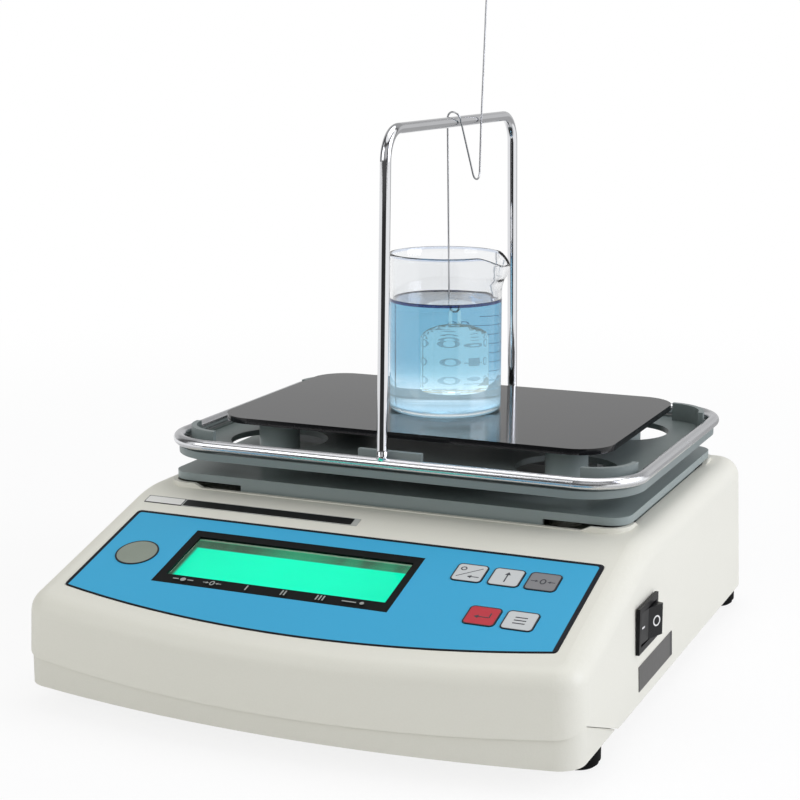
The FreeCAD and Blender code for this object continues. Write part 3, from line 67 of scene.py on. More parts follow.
# The dark strip above the panel: its lower and upper edges up the slope, then its pale field
# and its dark bar, each by its middle and its length across.
STRIP_LOW, STRIP_HIGH = 67.6, 73.0
STRIP_FIELD, STRIP_BAR = (-96.5, 17.6), (-47.1, 79.4)
# The camera's turn to the left of straight ahead; the studio's light is laid out about it.
CAMERA_TURN = math.radians(23.43)


def paint(red, green, blue):
    """A colour from a paint card (0 to 255 a channel) as light values."""
    def light(value):
        value /= 255
        return value / 12.92 if value <= 0.04045 else ((value + 0.055) / 1.055) ** 2.4
    return light(red), light(green), light(blue)


# ---------------------------------------------------------------- settings

def colour_setting(name, description, default):
    return bpy.props.FloatVectorProperty(
        name=name, description=description, subtype="COLOR", size=3, min=0, max=1, default=default)


def length_setting(name, description, default):
    return bpy.props.FloatProperty(
        name=name, description=description, subtype="DISTANCE", unit="LENGTH", min=0,
        default=default * MM)


class CaseSettings(bpy.types.PropertyGroup):
    """Colours of the case, its panel and its keys."""
    housing: colour_setting("Housing", "Colour of the moulded case", paint(222, 221, 210))
    panel: colour_setting("Panel", "Colour of the printed panel film", paint(60, 165, 208))
    edging: colour_setting("Edging", "Colour of the line round panel and keys", paint(4, 8, 22))
    light_key: colour_setting("Light key", "Colour of the plain keys", paint(198, 201, 201))
    dark_key: colour_setting("Dark key", "Colour of the zero key", paint(124, 124, 126))
    red_key: colour_setting("Red key", "Colour of the enter key", paint(184, 36, 52))
    display: colour_setting("Display", "Colour of the lit display", paint(0, 250, 196))


class WeighingSettings(bpy.types.PropertyGroup):
    """Colours of what stands on the case."""
    tray: colour_setting("Tray", "Colour of both trays", paint(122, 132, 131))
    plate: colour_setting("Plate", "Colour of the glossy plate", paint(24, 24, 26))
    metal: colour_setting("Metal", "Colour of the bright rods", paint(226, 227, 230))


class GlassSettings(bpy.types.PropertyGroup):
    """Sizes and colours of the beaker and what is in it."""
    radius: length_setting("Radius", "Outer radius of the beaker", 25.0)
    wall: length_setting("Wall", "Thickness of the beaker's wall", 1.4)
    floor: length_setting("Floor", "Thickness of the beaker's floor", 2.0)
    level: length_setting("Level", "Height of the liquid above the bench", 150.0)
    spout_reach: length_setting("Spout reach", "How far the lip leans out at the spout", 3.9)
    spout_drop: length_setting("Spout drop", "How far the rim falls at the spout", 4.2)
    liquid: colour_setting("Liquid", "Colour of the liquid", paint(132, 194, 224))


class StageSettings(bpy.types.PropertyGroup):
    """Light and background."""
    sky: bpy.props.FloatProperty(
        name="Sky", description="Strength of the even light from all round",
        min=0, default=0.505)
    floor: colour_setting("Floor", "Colour of the floor", paint(246, 246, 246))


# ---------------------------------------------------------------- shader arithmetic

class Number:
    """A value in a material.  Plain arithmetic on it adds the Math nodes for it."""

    def __init__(self, look, socket):
        self.look = look
        self.socket = socket

    def maths(self, operation, *values):
        return self.look.node("ShaderNodeMath", {"operation": operation}, values)

    def __add__(self, other):
        return self.maths("ADD", self, other)

    def __sub__(self, other):
        return self.maths("SUBTRACT", self, other)

    def __rsub__(self, other):
        return self.maths("SUBTRACT", other, self)

    def __mul__(self, other):
        return self.maths("MULTIPLY", self, other)

    def __truediv__(self, other):
        return self.maths("DIVIDE", self, other)

    def __neg__(self):
        return self.maths("MULTIPLY", self, -1)

    def __pow__(self, other):
        return self.maths("POWER", self, other)

    def __abs__(self):
        return self.maths("ABSOLUTE", self)

    __radd__ = __add__
    __rmul__ = __mul__

    def most(self, other):
        return self.maths("MAXIMUM", self, other)

    def least(self, other):
        return self.maths("MINIMUM", self, other)

    def root(self):
        return self.maths("SQRT", self)

    def rise(self, low, high):
        """0 below low and 1 above high, with a soft step between."""
        return self.look.node("ShaderNodeMapRange", {"interpolation_type": "SMOOTHSTEP"},
                              {"Value": self, "From Min": low, "From Max": high})

    def between(self, low, high, soft):
        """1 from low to high and 0 elsewhere, with soft steps."""
        return self.rise(low - soft, low + soft) * (1 - self.rise(high - soft, high + soft))


class Look:
    """A material that is built up from nodes round one Principled shader."""

    def __init__(self, name, **constants):
        self.material = bpy.data.materials.new(name)
        self.material.use_nodes = True
        self.tree = self.material.node_tree
        self.shader = self.tree.nodes["Principled BSDF"]
        for socket, value in constants.items():
            self.fix(socket.replace("_", " "), value)
        self.place = self.node("ShaderNodeTexCoord", output="Object")
        self.x, self.y, self.z = (
            self.node("ShaderNodeSeparateXYZ", {}, [self.place], output) for output in range(3))

    def node(self, kind, settings=None, values=(), output=0):
        """Adds a node, gives it its settings and then its values or links."""
        new = self.tree.nodes.new(kind)
        for name, value in (settings or {}).items():
            if name == "stops":
                self.set_stops(new.color_ramp, value)
            else:
                setattr(new, name, value)
        pairs = values.items() if isinstance(values, dict) else enumerate(values)
        for name, value in pairs:
            self.join(new.inputs[name], value)
        return Number(self, new.outputs[output])

    @staticmethod
    def set_stops(ramp, stops):
        while len(ramp.elements) < len(stops):
            ramp.elements.new(0.5)
        for element, (position, colour) in zip(ramp.elements, stops):
            element.position = position
            element.color = (*colour, 1)

    def join(self, socket, value):
        if isinstance(value, Number):
            self.tree.links.new(value.socket, socket)
        elif socket.type == "RGBA" and len(value) == 3:
            socket.default_value = (*value, 1)
        else:
            socket.default_value = value

    def fix(self, socket, value):
        """Sets or links one socket of the shader."""
        self.join(self.shader.inputs[socket], value)

    def spots(self, scale, detail=2.0, roughness=0.5, stretch=(1, 1, 1)):
        """Soft random spots, scale to the metre, about 0.5 in the middle."""
        place = self.place
        if stretch != (1, 1, 1):
            place = self.node("ShaderNodeMapping", {}, {"Vector": place, "Scale": stretch})
        return self.node("ShaderNodeTexNoise", {},
                         {"Vector": place, "Scale": scale, "Detail": detail,
                          "Roughness": roughness})

    def cells(self, scale):
        """The distance to the nearest of many scattered points, scale to the metre."""
        return self.node("ShaderNodeTexVoronoi", {}, {"Vector": self.place, "Scale": scale})

    def mix(self, factor, first, second):
        """One colour laid over another by a factor."""
        return self.node("ShaderNodeMix", {"data_type": "RGBA"},
                         {0: factor, 6: first, 7: second}, 2)

    def shade(self, colour, amount):
        """A colour made darker or lighter all over by a value about 1."""
        return self.node("ShaderNodeVectorMath", {"operation": "SCALE"},
                         {0: colour if isinstance(colour, Number) else tuple(colour),
                          "Scale": amount})

    def relief(self, height, depth, strength=1.0):
        """Bumps the surface by a height of 0 to 1 times depth."""
        bumped = self.node("ShaderNodeBump", {}, {
            "Strength": strength, "Distance": depth * MM, "Height": height})
        self.fix("Normal", bumped)

    def slope_place(self):
        """x across and s up the sloping front, both in millimetres."""
        up = ((self.y - SLOPE_Y) * math.cos(SLOPE_TILT)
              + (self.z - SLOPE_Z) * math.sin(SLOPE_TILT))
        return self.x / MM, up / MM

    def rounded_box(self, x, y, centre, size, corner):
        """How far a point lies outside a rounded rectangle, less than 0 inside."""
        across = (abs(x - centre[0]) - (size[0] / 2 - corner)).most(0)
        along = (abs(y - centre[1]) - (size[1] / 2 - corner)).most(0)
        return (across * across + along * along).root() - corner

    def ray(self, kind):
        """1 for one kind of ray, such as what the camera or a mirror shows, else 0."""
        return self.node("ShaderNodeLightPath", {}, {}, kind)

    def put_on(self, *names):
        for name in names:
            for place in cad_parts[name].material_slots:
                place.material = self.material


# ---------------------------------------------------------------- shapes

def deselect():
    if bpy.context.object and bpy.context.object.mode != "OBJECT":
        bpy.ops.object.mode_set(mode="OBJECT")
    bpy.ops.object.select_all(action="DESELECT")


def finished(thing, name, body, look, angle=None):
    """Puts a shape's place into its mesh, smooths it, names it and gives it body and finish."""
    deselect()
    bpy.context.view_layer.objects.active = thing
    thing.select_set(True)
    if thing.type != "MESH":
        bpy.ops.object.convert(target="MESH")
        thing = bpy.context.object
    bpy.ops.object.transform_apply(location=True, rotation=True, scale=True)
    if angle is None:
        bpy.ops.object.shade_smooth()
    else:
        bpy.ops.object.shade_smooth_by_angle(angle=math.radians(angle))
    thing.name = thing.data.name = name
    thing.data.materials.clear()
    thing.data.materials.append(look.material)
    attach(thing, body)
    deselect()
    return thing


def turned(profile, centre, segments=96):
    """A closed turned shape: a ring of the first radius is extruded from station to station.

    The profile's (radius, height) pairs are in millimetres and start and end near the axis."""
    deselect()
    axis = Vector((centre[0] * MM, centre[1] * MM, 0))
    radius, height = profile[0]
    bpy.ops.mesh.primitive_circle_add(
        vertices=segments, radius=radius * MM, fill_type="TRIFAN",
        location=(axis.x, axis.y, height * MM))
    shape = bpy.context.object
    bpy.ops.object.mode_set(mode="EDIT")
    bpy.ops.mesh.select_mode(type="EDGE")
    bpy.ops.mesh.region_to_loop()
    for new_radius, new_height in profile[1:]:
        bpy.ops.mesh.extrude_edges_move(
            TRANSFORM_OT_translate={"value": (0, 0, (new_height - height) * MM)})
        scale = new_radius / radius
        bpy.ops.transform.resize(value=(scale, scale, 1), center_override=tuple(axis))
        radius, height = new_radius, new_height
    bpy.ops.mesh.edge_face_add()
    bpy.ops.mesh.poke()
    bpy.ops.mesh.select_all(action="SELECT")
    bpy.ops.mesh.remove_doubles(threshold=0.00001)
    bpy.ops.mesh.normals_make_consistent(inside=False)
    bpy.ops.object.mode_set(mode="OBJECT")
    return shape


def arc(centre, radius, start, end, steps):
    """Stations of a quarter or part round, from start to end degrees."""
    return [(centre[0] + radius * math.cos(math.radians(start + (end - start) * i / steps)),
             centre[1] + radius * math.sin(math.radians(start + (end - start) * i / steps)))
            for i in range(steps + 1)]


def flat_print(outlines, thickness):
    """Flat printed marks as one mesh: each outline is a closed run of (x, s) points."""
    curve = bpy.data.curves.new("print", "CURVE")
    curve.dimensions = "2D"
    curve.fill_mode = "BOTH"
    curve.extrude = thickness / 2 * MM
    for outline in outlines:
        spline = curve.splines.new("POLY")
        spline.points.add(len(outline) - 1)
        for point, (x, s) in zip(spline.points, outline):
            point.co = (x * MM, s * MM, 0, 1)
        spline.use_cyclic_u = True
    return bpy.data.objects.new("print", curve)


def on_slope(thing, height):
    """Lays a flat piece, drawn in x and s, on the sloping front at a height above it."""
    bpy.context.scene.collection.objects.link(thing)
    thing.rotation_euler = (SLOPE_TILT, 0, 0)
    thing.location = (0, SLOPE_Y - math.sin(SLOPE_TILT) * height * MM,
                      SLOPE_Z + math.cos(SLOPE_TILT) * height * MM)
    return thing


def stroke(start, end, width):
    """The outline of a straight stroke."""
    along = Vector(end) - Vector(start)
    side = Vector((-along.y, along.x)).normalized() * width / 2
    return [tuple(Vector(start) + side), tuple(Vector(start) - side),
            tuple(Vector(end) - side), tuple(Vector(end) + side)]


def arrow(start, end, width, head):
    """The outline of an arrow that points at its end."""
    start, end = Vector(start), Vector(end)
    ahead = (end - start).normalized()
    side = Vector((-ahead.y, ahead.x))
    neck = end - ahead * head
    return [tuple(p) for p in (
        start + side * width / 2, start - side * width / 2, neck - side * width / 2,
        neck - side * head * 0.62, end, neck + side * head * 0.62, neck + side * width / 2)]


def oval(centre, half_wide, half_high, steps=28):
    """The outline of an oval."""
    return [(centre[0] + half_wide * math.cos(2 * math.pi * i / steps),
             centre[1] + half_high * math.sin(2 * math.pi * i / steps)) for i in range(steps)]


def zero_mark(x, s, size):
    """A nought with an arrow at each side of it: two ovals and two arrows."""
    return [oval((x, s), 0.36 * size, 0.5 * size), oval((x, s), 0.2 * size, 0.34 * size),
            arrow((x - 1.35 * size, s), (x - 0.5 * size, s), 0.12 * size, 0.36 * size),
            arrow((x + 1.35 * size, s), (x + 0.5 * size, s), 0.12 * size, 0.36 * size)]


# ---------------------------------------------------------------- finishes that several use

def moulded(name, colour, roughness, grain=1700, depth=0.02, cloud=0.025, shine=0.4):
    """Moulded plastic: a fine sparked grain, with slow changes of tone."""
    look = Look(name, Specular_IOR_Level=shine)
    slow = look.spots(9, 3)
    fine = look.spots(grain, 3, 0.6)
    tone = 1 + (slow - 0.5) * (cloud * 2) + (fine - 0.5) * 0.05
    look.fix("Base Color", look.shade(colour, tone))
    look.fix("Roughness", roughness + (look.spots(60, 3) - 0.5) * 0.12)
    look.relief(fine, depth)
    return look


def bright_metal(name, colour, roughness, wave=0.02):
    """Plated or polished metal with the slight waves and smears of a drawn rod."""
    look = Look(name, Metallic=1.0)
    smear = look.spots(70, 4, 0.6)
    look.fix("Base Color", look.shade(colour, 0.94 + smear * 0.1))
    look.fix("Roughness", roughness + smear.rise(0.45, 0.8) * 0.09)
    look.relief(look.spots(120, 2), wave, 0.6)
    return look


def turned_metal(name, colour, roughness=0.3):
    """Machined metal with fine tool lines."""
    look = Look(name, Metallic=1.0)
    lines = look.spots(500, 2, 0.6, (1, 1, 6))
    look.fix("Base Color", look.shade(colour, 0.85 + lines * 0.3))
    look.fix("Roughness", roughness + (lines - 0.5) * 0.2)
    look.relief(lines, 0.01)
    return look


def plain_rubber(name, colour):
    """Matt black rubber or cable sheath with a little dust."""
    look = Look(name, Specular_IOR_Level=0.1)
    dust = look.spots(180, 4, 0.65)
    look.fix("Base Color", look.mix(dust.rise(0.5, 0.85) * 0.35, colour,
                                    tuple(min(1, c * 2 + 0.008) for c in colour)))
    look.fix("Roughness", 0.62 + (dust - 0.5) * 0.3)
    look.relief(look.spots(1400, 2), 0.02)
    return look


# ---------------------------------------------------------------- operators

class MakeHousing(bpy.types.Operator):
    """Gives both shells of the case their moulded finish"""
    bl_idname = "density_meter.housing"
    bl_label = "Housing"

    def execute(self, context):
        colour = context.scene.meter_case.housing
        look = moulded("housing", colour, 0.42, grain=1500, depth=0.035, cloud=0.02)
        look.put_on("top_cover")
        lower = tuple(c * 0.96 for c in colour)
        moulded("housing_lower", lower, 0.45, grain=1500, depth=0.035).put_on("bottom_chassis")
        return {"FINISHED"}


class MakePanel(bpy.types.Operator):
    """Prints the panel film, the display frame, the badge and the name strip"""
    bl_idname = "density_meter.panel"
    bl_label = "Panel"

    def execute(self, context):
        case = context.scene.meter_case
        film = Look("panel_film", Specular_IOR_Level=0.2)
        x, s = film.slope_place()
        bow_radius = (PANEL_HALF ** 2 + PANEL_BOW ** 2) / (2 * PANEL_BOW)
        drop = s - (bow_radius - PANEL_BOW)
        from_bow = bow_radius - (x * x + drop * drop).root()
        from_side = PANEL_HALF - abs(x)
        from_top = PANEL_TOP - s
        round_in = film.rounded_box(x, s, (0, PANEL_TOP - 50), (2 * PANEL_HALF, 100), 3.2)
        line = (from_side / 1.8).least(from_top / 1.8).least(from_bow / 0.8).least(
            round_in * -1 / 1.8)
        line = 1 - line.rise(0.93, 1.07)
        grain = film.spots(2600, 2, 0.7)
        blue = film.shade(case.panel, 0.95 + grain * 0.1 + (film.spots(14, 2) - 0.5) * 0.06)
        film.fix("Base Color", film.mix(line, blue, case.edging))
        film.fix("Roughness", 0.4 + (film.spots(90, 3) - 0.5) * 0.12)
        film.relief(grain, 0.015)
        film.put_on("membrane_panel")

        black = Look("display_surround", Specular_IOR_Level=0.1)
        haze = black.spots(120, 3, 0.6)
        black.fix("Base Color", black.shade(paint(12, 14, 14), 0.8 + haze * 0.4))
        black.fix("Roughness", 0.36 + (haze - 0.5) * 0.2)
        black.relief(black.spots(2200, 2), 0.01)
        black.put_on("display_frame")
        self.print_frame_marks()
        self.finish_badge(case)
        self.finish_strip()
        return {"FINISHED"}

    def print_frame_marks(self):
        """Small generic marks below the window: a mark for steady, the zero mark and 1, 2, 3."""
        s = 13.2
        marks = [stroke((-60.8, s), (-58.2, s), 0.6), oval((-56.2, s), 1.2, 1.2),
                 stroke((-54.2, s), (-51.6, s), 0.6)]
        marks += zero_mark(-43.1, s, 3.0)
        for count, x in enumerate((-27.8, -12.3, 2.8), 1):
            for bar in range(count):
                marks.append(stroke((x + bar * 1.4, s - 1.6), (x + bar * 1.4, s + 1.6), 0.6))
        marks += [stroke((13.4, s), (19.4, s), 0.6), oval((21.8, s), 0.9, 0.9)]
        ink = Look("pale_print", Specular_IOR_Level=0.3)
        wear = ink.spots(900, 3, 0.7)
        ink.fix("Base Color", ink.shade(paint(160, 164, 160), 0.75 + wear * 0.4))
        ink.fix("Roughness", 0.5 + (wear - 0.5) * 0.2)
        thing = on_slope(flat_print(marks, 0.04), 0.98)
        finished(thing, "display_marks", "case", ink, 30)

    def finish_badge(self, case):
        look = Look("badge_face", Metallic=0.25)
        x, s = look.slope_place()
        dx, ds = x - BADGE_X, s - BADGE_S
        radius = (dx * dx + ds * ds).root()
        rings = look.node("ShaderNodeMath", {"operation": "SINE"}, [radius * 26])
        cloud = look.spots(160, 3)
        face = look.shade(paint(146, 155, 142), 0.93 + rings * 0.03 + (cloud - 0.5) * 0.14)
        look.fix("Base Color", look.mix(radius.rise(BADGE_R - 0.75, BADGE_R - 0.6),
                                        face, case.edging))
        look.fix("Roughness", 0.38 + (cloud - 0.5) * 0.2)
        look.relief(rings * 0.5 + 0.5, 0.01)
        look.put_on("round_badge")

    def finish_strip(self):
        """A dark strip with a blank pale field at its left and a clear film edge at its right."""
        look = Look("name_strip_face", Specular_IOR_Level=0.35)
        x, s = look.slope_place()
        grain = look.spots(1900, 2, 0.7)
        middle_s, tall = (STRIP_LOW + STRIP_HIGH) / 2, STRIP_HIGH - STRIP_LOW
        field = look.rounded_box(x, s, (STRIP_FIELD[0], middle_s), (STRIP_FIELD[1], tall - 0.7), 0.5)
        bar = look.rounded_box(x, s, (STRIP_BAR[0], middle_s), (STRIP_BAR[1], tall - 0.5), 0.5)
        dark = look.shade(paint(20, 20, 20), 0.8 + grain * 0.5)
        pale = look.shade(paint(226, 226, 222), 0.93 + grain * 0.12)
        clear = look.shade(paint(176, 178, 174), 0.93 + grain * 0.12)
        edge = look.mix(x.rise(-87.4, -87.2), paint(60, 60, 62), clear)
        face = look.mix(bar.rise(-0.08, 0.08), dark, edge)
        look.fix("Base Color", look.mix(field.rise(-0.08, 0.08), pale, face))
        look.fix("Roughness", 0.34 + (grain - 0.5) * 0.1)
        look.put_on("name_strip")


class MakeKeys(bpy.types.Operator):
    """Colours the five keys and prints a plain sign on each"""
    bl_idname = "density_meter.keys"
    bl_label = "Keys"

    def execute(self, context):
        case = context.scene.meter_case
        colours = {"key_zero": case.dark_key, "key_enter": case.red_key}
        ink = Look("key_print", Specular_IOR_Level=0.4)
        speck = ink.spots(1500, 3, 0.7)
        ink.fix("Base Color", ink.shade(paint(52, 54, 60), 0.7 + speck * 0.6))
        ink.fix("Roughness", 0.42 + (speck - 0.5) * 0.2)
        for name, (x, s) in KEYS.items():
            self.finish_key(name, x, s, colours.get(name, case.light_key), case.edging)
            thing = on_slope(flat_print(self.sign(name, x, s), 0.04), 0.71)
            finished(thing, name + "_sign", name + "_body", ink, 30)
        return {"FINISHED"}

    def finish_key(self, name, centre_x, centre_s, colour, edging):
        look = Look(name + "_film", Specular_IOR_Level=0.45)
        x, s = look.slope_place()
        outside = look.rounded_box(x, s, (centre_x, centre_s), (KEY_WIDTH, KEY_HEIGHT), KEY_CORNER)
        grain = look.spots(2300, 2, 0.7)
        # Painted shade: each key's face is a little darker in a band just inside its edge.
        face = look.shade(colour, 0.94 + grain * 0.1 - outside.rise(-1.6, -0.5) * 0.05)
        look.fix("Base Color", look.mix(outside.rise(-0.62, -0.48), face, edging))
        look.fix("Roughness", 0.4 + (look.spots(240, 2) - 0.5) * 0.16)
        look.relief(grain, 0.012)
        look.put_on(name)

    def sign(self, name, x, s):
        """Plain signs: arrows, a nought between arrows, and three bars."""
        if name == "key_up":
            return [arrow((x, s - 3.4), (x, s + 3.6), 0.55, 2.0)]
        if name == "key_set":
            return [stroke((x - 4.6, s - 3.2), (x + 4.4, s + 3.6), 0.4),
                    arrow((x + 4.6, s - 2.6), (x - 0.2, s - 2.6), 0.5, 1.7),
                    oval((x - 3.2, s + 2.5), 1.3, 1.3), oval((x - 3.2, s + 2.5), 0.8, 0.8)]
        if name == "key_zero":
            return zero_mark(x, s, 3.6)
        if name == "key_enter":
            return [arrow((x + 2.8, s - 0.8), (x - 3.2, s - 0.8), 0.55, 1.9),
                    stroke((x + 3.0, s - 1.07), (x + 3.0, s + 2.2), 0.55)]
        return [stroke((x - 2.4, s + step), (x + 2.4, s + step), 0.6) for step in (-1.9, 0, 1.9)]


class MakeDisplay(bpy.types.Operator):
    """Lights the display behind its clear window"""
    bl_idname = "density_meter.display"
    bl_label = "Display"

    def execute(self, context):
        lit = context.scene.meter_case.display
        glass = Look("lit_display", Specular_IOR_Level=0.04, Roughness=0.3,
                     Emission_Strength=1.0)
        x, s = glass.slope_place()
        left, right, _, top = WINDOW
        middle = (x - (left + right) / 2) / ((right - left) / 2)
        glow = 0.93 - middle * middle * 0.08 + (glass.spots(60, 2) - 0.5) * 0.05
        # The frame shades the display's upper and left edges; it lies deeper than the window,
        # so more of it is seen past the window's upper edge.
        shadow = s.rise(top - 4.5, top - 3.6).most(1 - x.rise(left - 0.6, left + 1.4))
        # Painted reflections: soft streaks and a paler patch laid over the painted shade of the band.
        reflection_streak = glass.spots(45, 2, 0.5, (1, 0.3, 0.3)).rise(0.46, 0.62) * 0.55
        reflection_streak = reflection_streak.most(x.between(-34, -4, 12) * 0.7)
        dull = glass.mix(reflection_streak, paint(66, 96, 78), paint(52, 162, 118))
        # A painted highlight: a thin paler green line along the upper edge of the shaded band.
        dull = glass.mix(s.rise(top + 1.3, top + 1.6), dull, paint(100, 206, 158))
        bright = glass.shade(lit, glow)
        face = glass.mix(shadow, bright, dull)
        glass.fix("Base Color", glass.shade(face, 0.12))
        glass.fix("Emission Color", face)
        glass.put_on("lcd_glass", "lcd_backlight")

        clear = Look("clear_window", Roughness=0.03, IOR=1.08, Transmission_Weight=1.0)
        wipe = clear.spots(40, 3)
        clear.fix("Base Color", clear.shade((0.97, 0.985, 0.98), 0.97 + wipe * 0.04))
        clear.put_on("display_window")
        return {"FINISHED"}


class MakeSwitch(bpy.types.Operator):
    """Finishes the rocker switch, its signs and the label below it"""
    bl_idname = "density_meter.switch"
    bl_label = "Switch"

    def execute(self, context):
        moulded("switch_housing", paint(15, 15, 17), 0.4, 1800, 0.01, shine=0.2).put_on(
            "rocker_housing")
        look = Look("switch_paddle", Specular_IOR_Level=0.3)
        # The paddle's own directions: out from the wall and along it, turned to its rest.
        px, py, pz = (value * MM for value in ROCKER_PIVOT)
        along = ((look.y - py) * math.cos(ROCKER_TILT) - (look.x - px) * math.sin(ROCKER_TILT)) / MM
        up = (look.z - pz) / MM
        right = along - 5.2
        radius = (right * right + up * up).root()
        nought = radius.between(1.6, 2.2, 0.12)
        dash = (1 - abs(along + 5.4).rise(1.35, 1.55)) * (1 - abs(up).rise(0.3, 0.42))
        white = nought.most(dash)
        haze = look.spots(150, 3, 0.6)
        black = look.shade(paint(17, 18, 20), 0.85 + haze * 0.3)
        look.fix("Base Color", look.mix(white, black, paint(226, 226, 224)))
        look.fix("Roughness", 0.3 + (haze - 0.5) * 0.16)
        look.relief(haze, 0.02)
        look.put_on("rocker_paddle")

        label = Look("side_label_face", Metallic=0.2, Specular_IOR_Level=0.3)
        grain = label.spots(1300, 2, 0.6, (1, 1, 0.25))
        # Painted shadow: the label's rear end is painted dark.
        end = (label.y / MM).rise(-3.4, -2.6)
        face = label.shade(paint(88, 87, 85), 0.78 + grain * 0.44)
        label.fix("Base Color", label.mix(end, face, paint(46, 46, 48)))
        label.fix("Roughness", 0.36 + (grain - 0.5) * 0.2)
        label.relief(grain, 0.008)
        label.put_on("side_label")
        moulded("jack_plastic", paint(24, 24, 26), 0.4).put_on("power_jack")
        return {"FINISHED"}


class MakeTrays(bpy.types.Operator):
    """Finishes both trays, the plate and the pads under it"""
    bl_idname = "density_meter.trays"
    bl_label = "Trays"

    def execute(self, context):
        weighing = context.scene.meter_weighing
        # Painted light: the fixed tray, under the weighing tray that lies over it, is a lit copy of
        # the same plastic, painted paler for the light that its lip catches.
        for name, tone in (("weighing_tray", 1.0), ("lower_tray", 1.35)):
            colour = tuple(c * tone for c in weighing.tray)
            look = moulded(name + "_plastic", colour, 0.36, grain=1300, depth=0.03, cloud=0.03)
            look.put_on(name)
        plate = Look("plate_gloss", Specular_IOR_Level=0.5, IOR=1.4)
        dust = plate.spots(1500, 2, 0.7).rise(0.62, 0.8)
        haze = plate.spots(35, 3)
        plate.fix("Base Color", plate.mix(dust * 0.25, weighing.plate, paint(90, 90, 92)))
        plate.fix("Roughness", 0.07 + haze * 0.05 + dust * 0.1)
        plate.relief(plate.spots(30, 1), 0.03, 0.3)
        plate.put_on("beaker_plate")
        plain_rubber("pad_rubber_look", paint(40, 40, 42)).put_on("plate_pads", "pan_support_pads")
        return {"FINISHED"}


class MakeRods(bpy.types.Operator):
    """Plates the frame's rods and gives the hook wire its steel finish"""
    bl_idname = "density_meter.rods"
    bl_label = "Rods and hook wire"

    def execute(self, context):
        metal = context.scene.meter_weighing.metal
        bright_metal("ring_chrome", metal, 0.21, 0.004).put_on("frame_ring")
        arch = bright_metal("arch_chrome", metal, 0.06, 0.0)
        at_weld = 1 - (arch.z / MM).rise(94.0, 97.5)
        arch.relief(arch.spots(320, 2) * at_weld, 1.2)
        arch.put_on("frame_arch")
        bright_metal("hook_steel", tuple(c * 0.62 for c in metal), 0.3, 0.0).put_on("hook_wire")
        return {"FINISHED"}


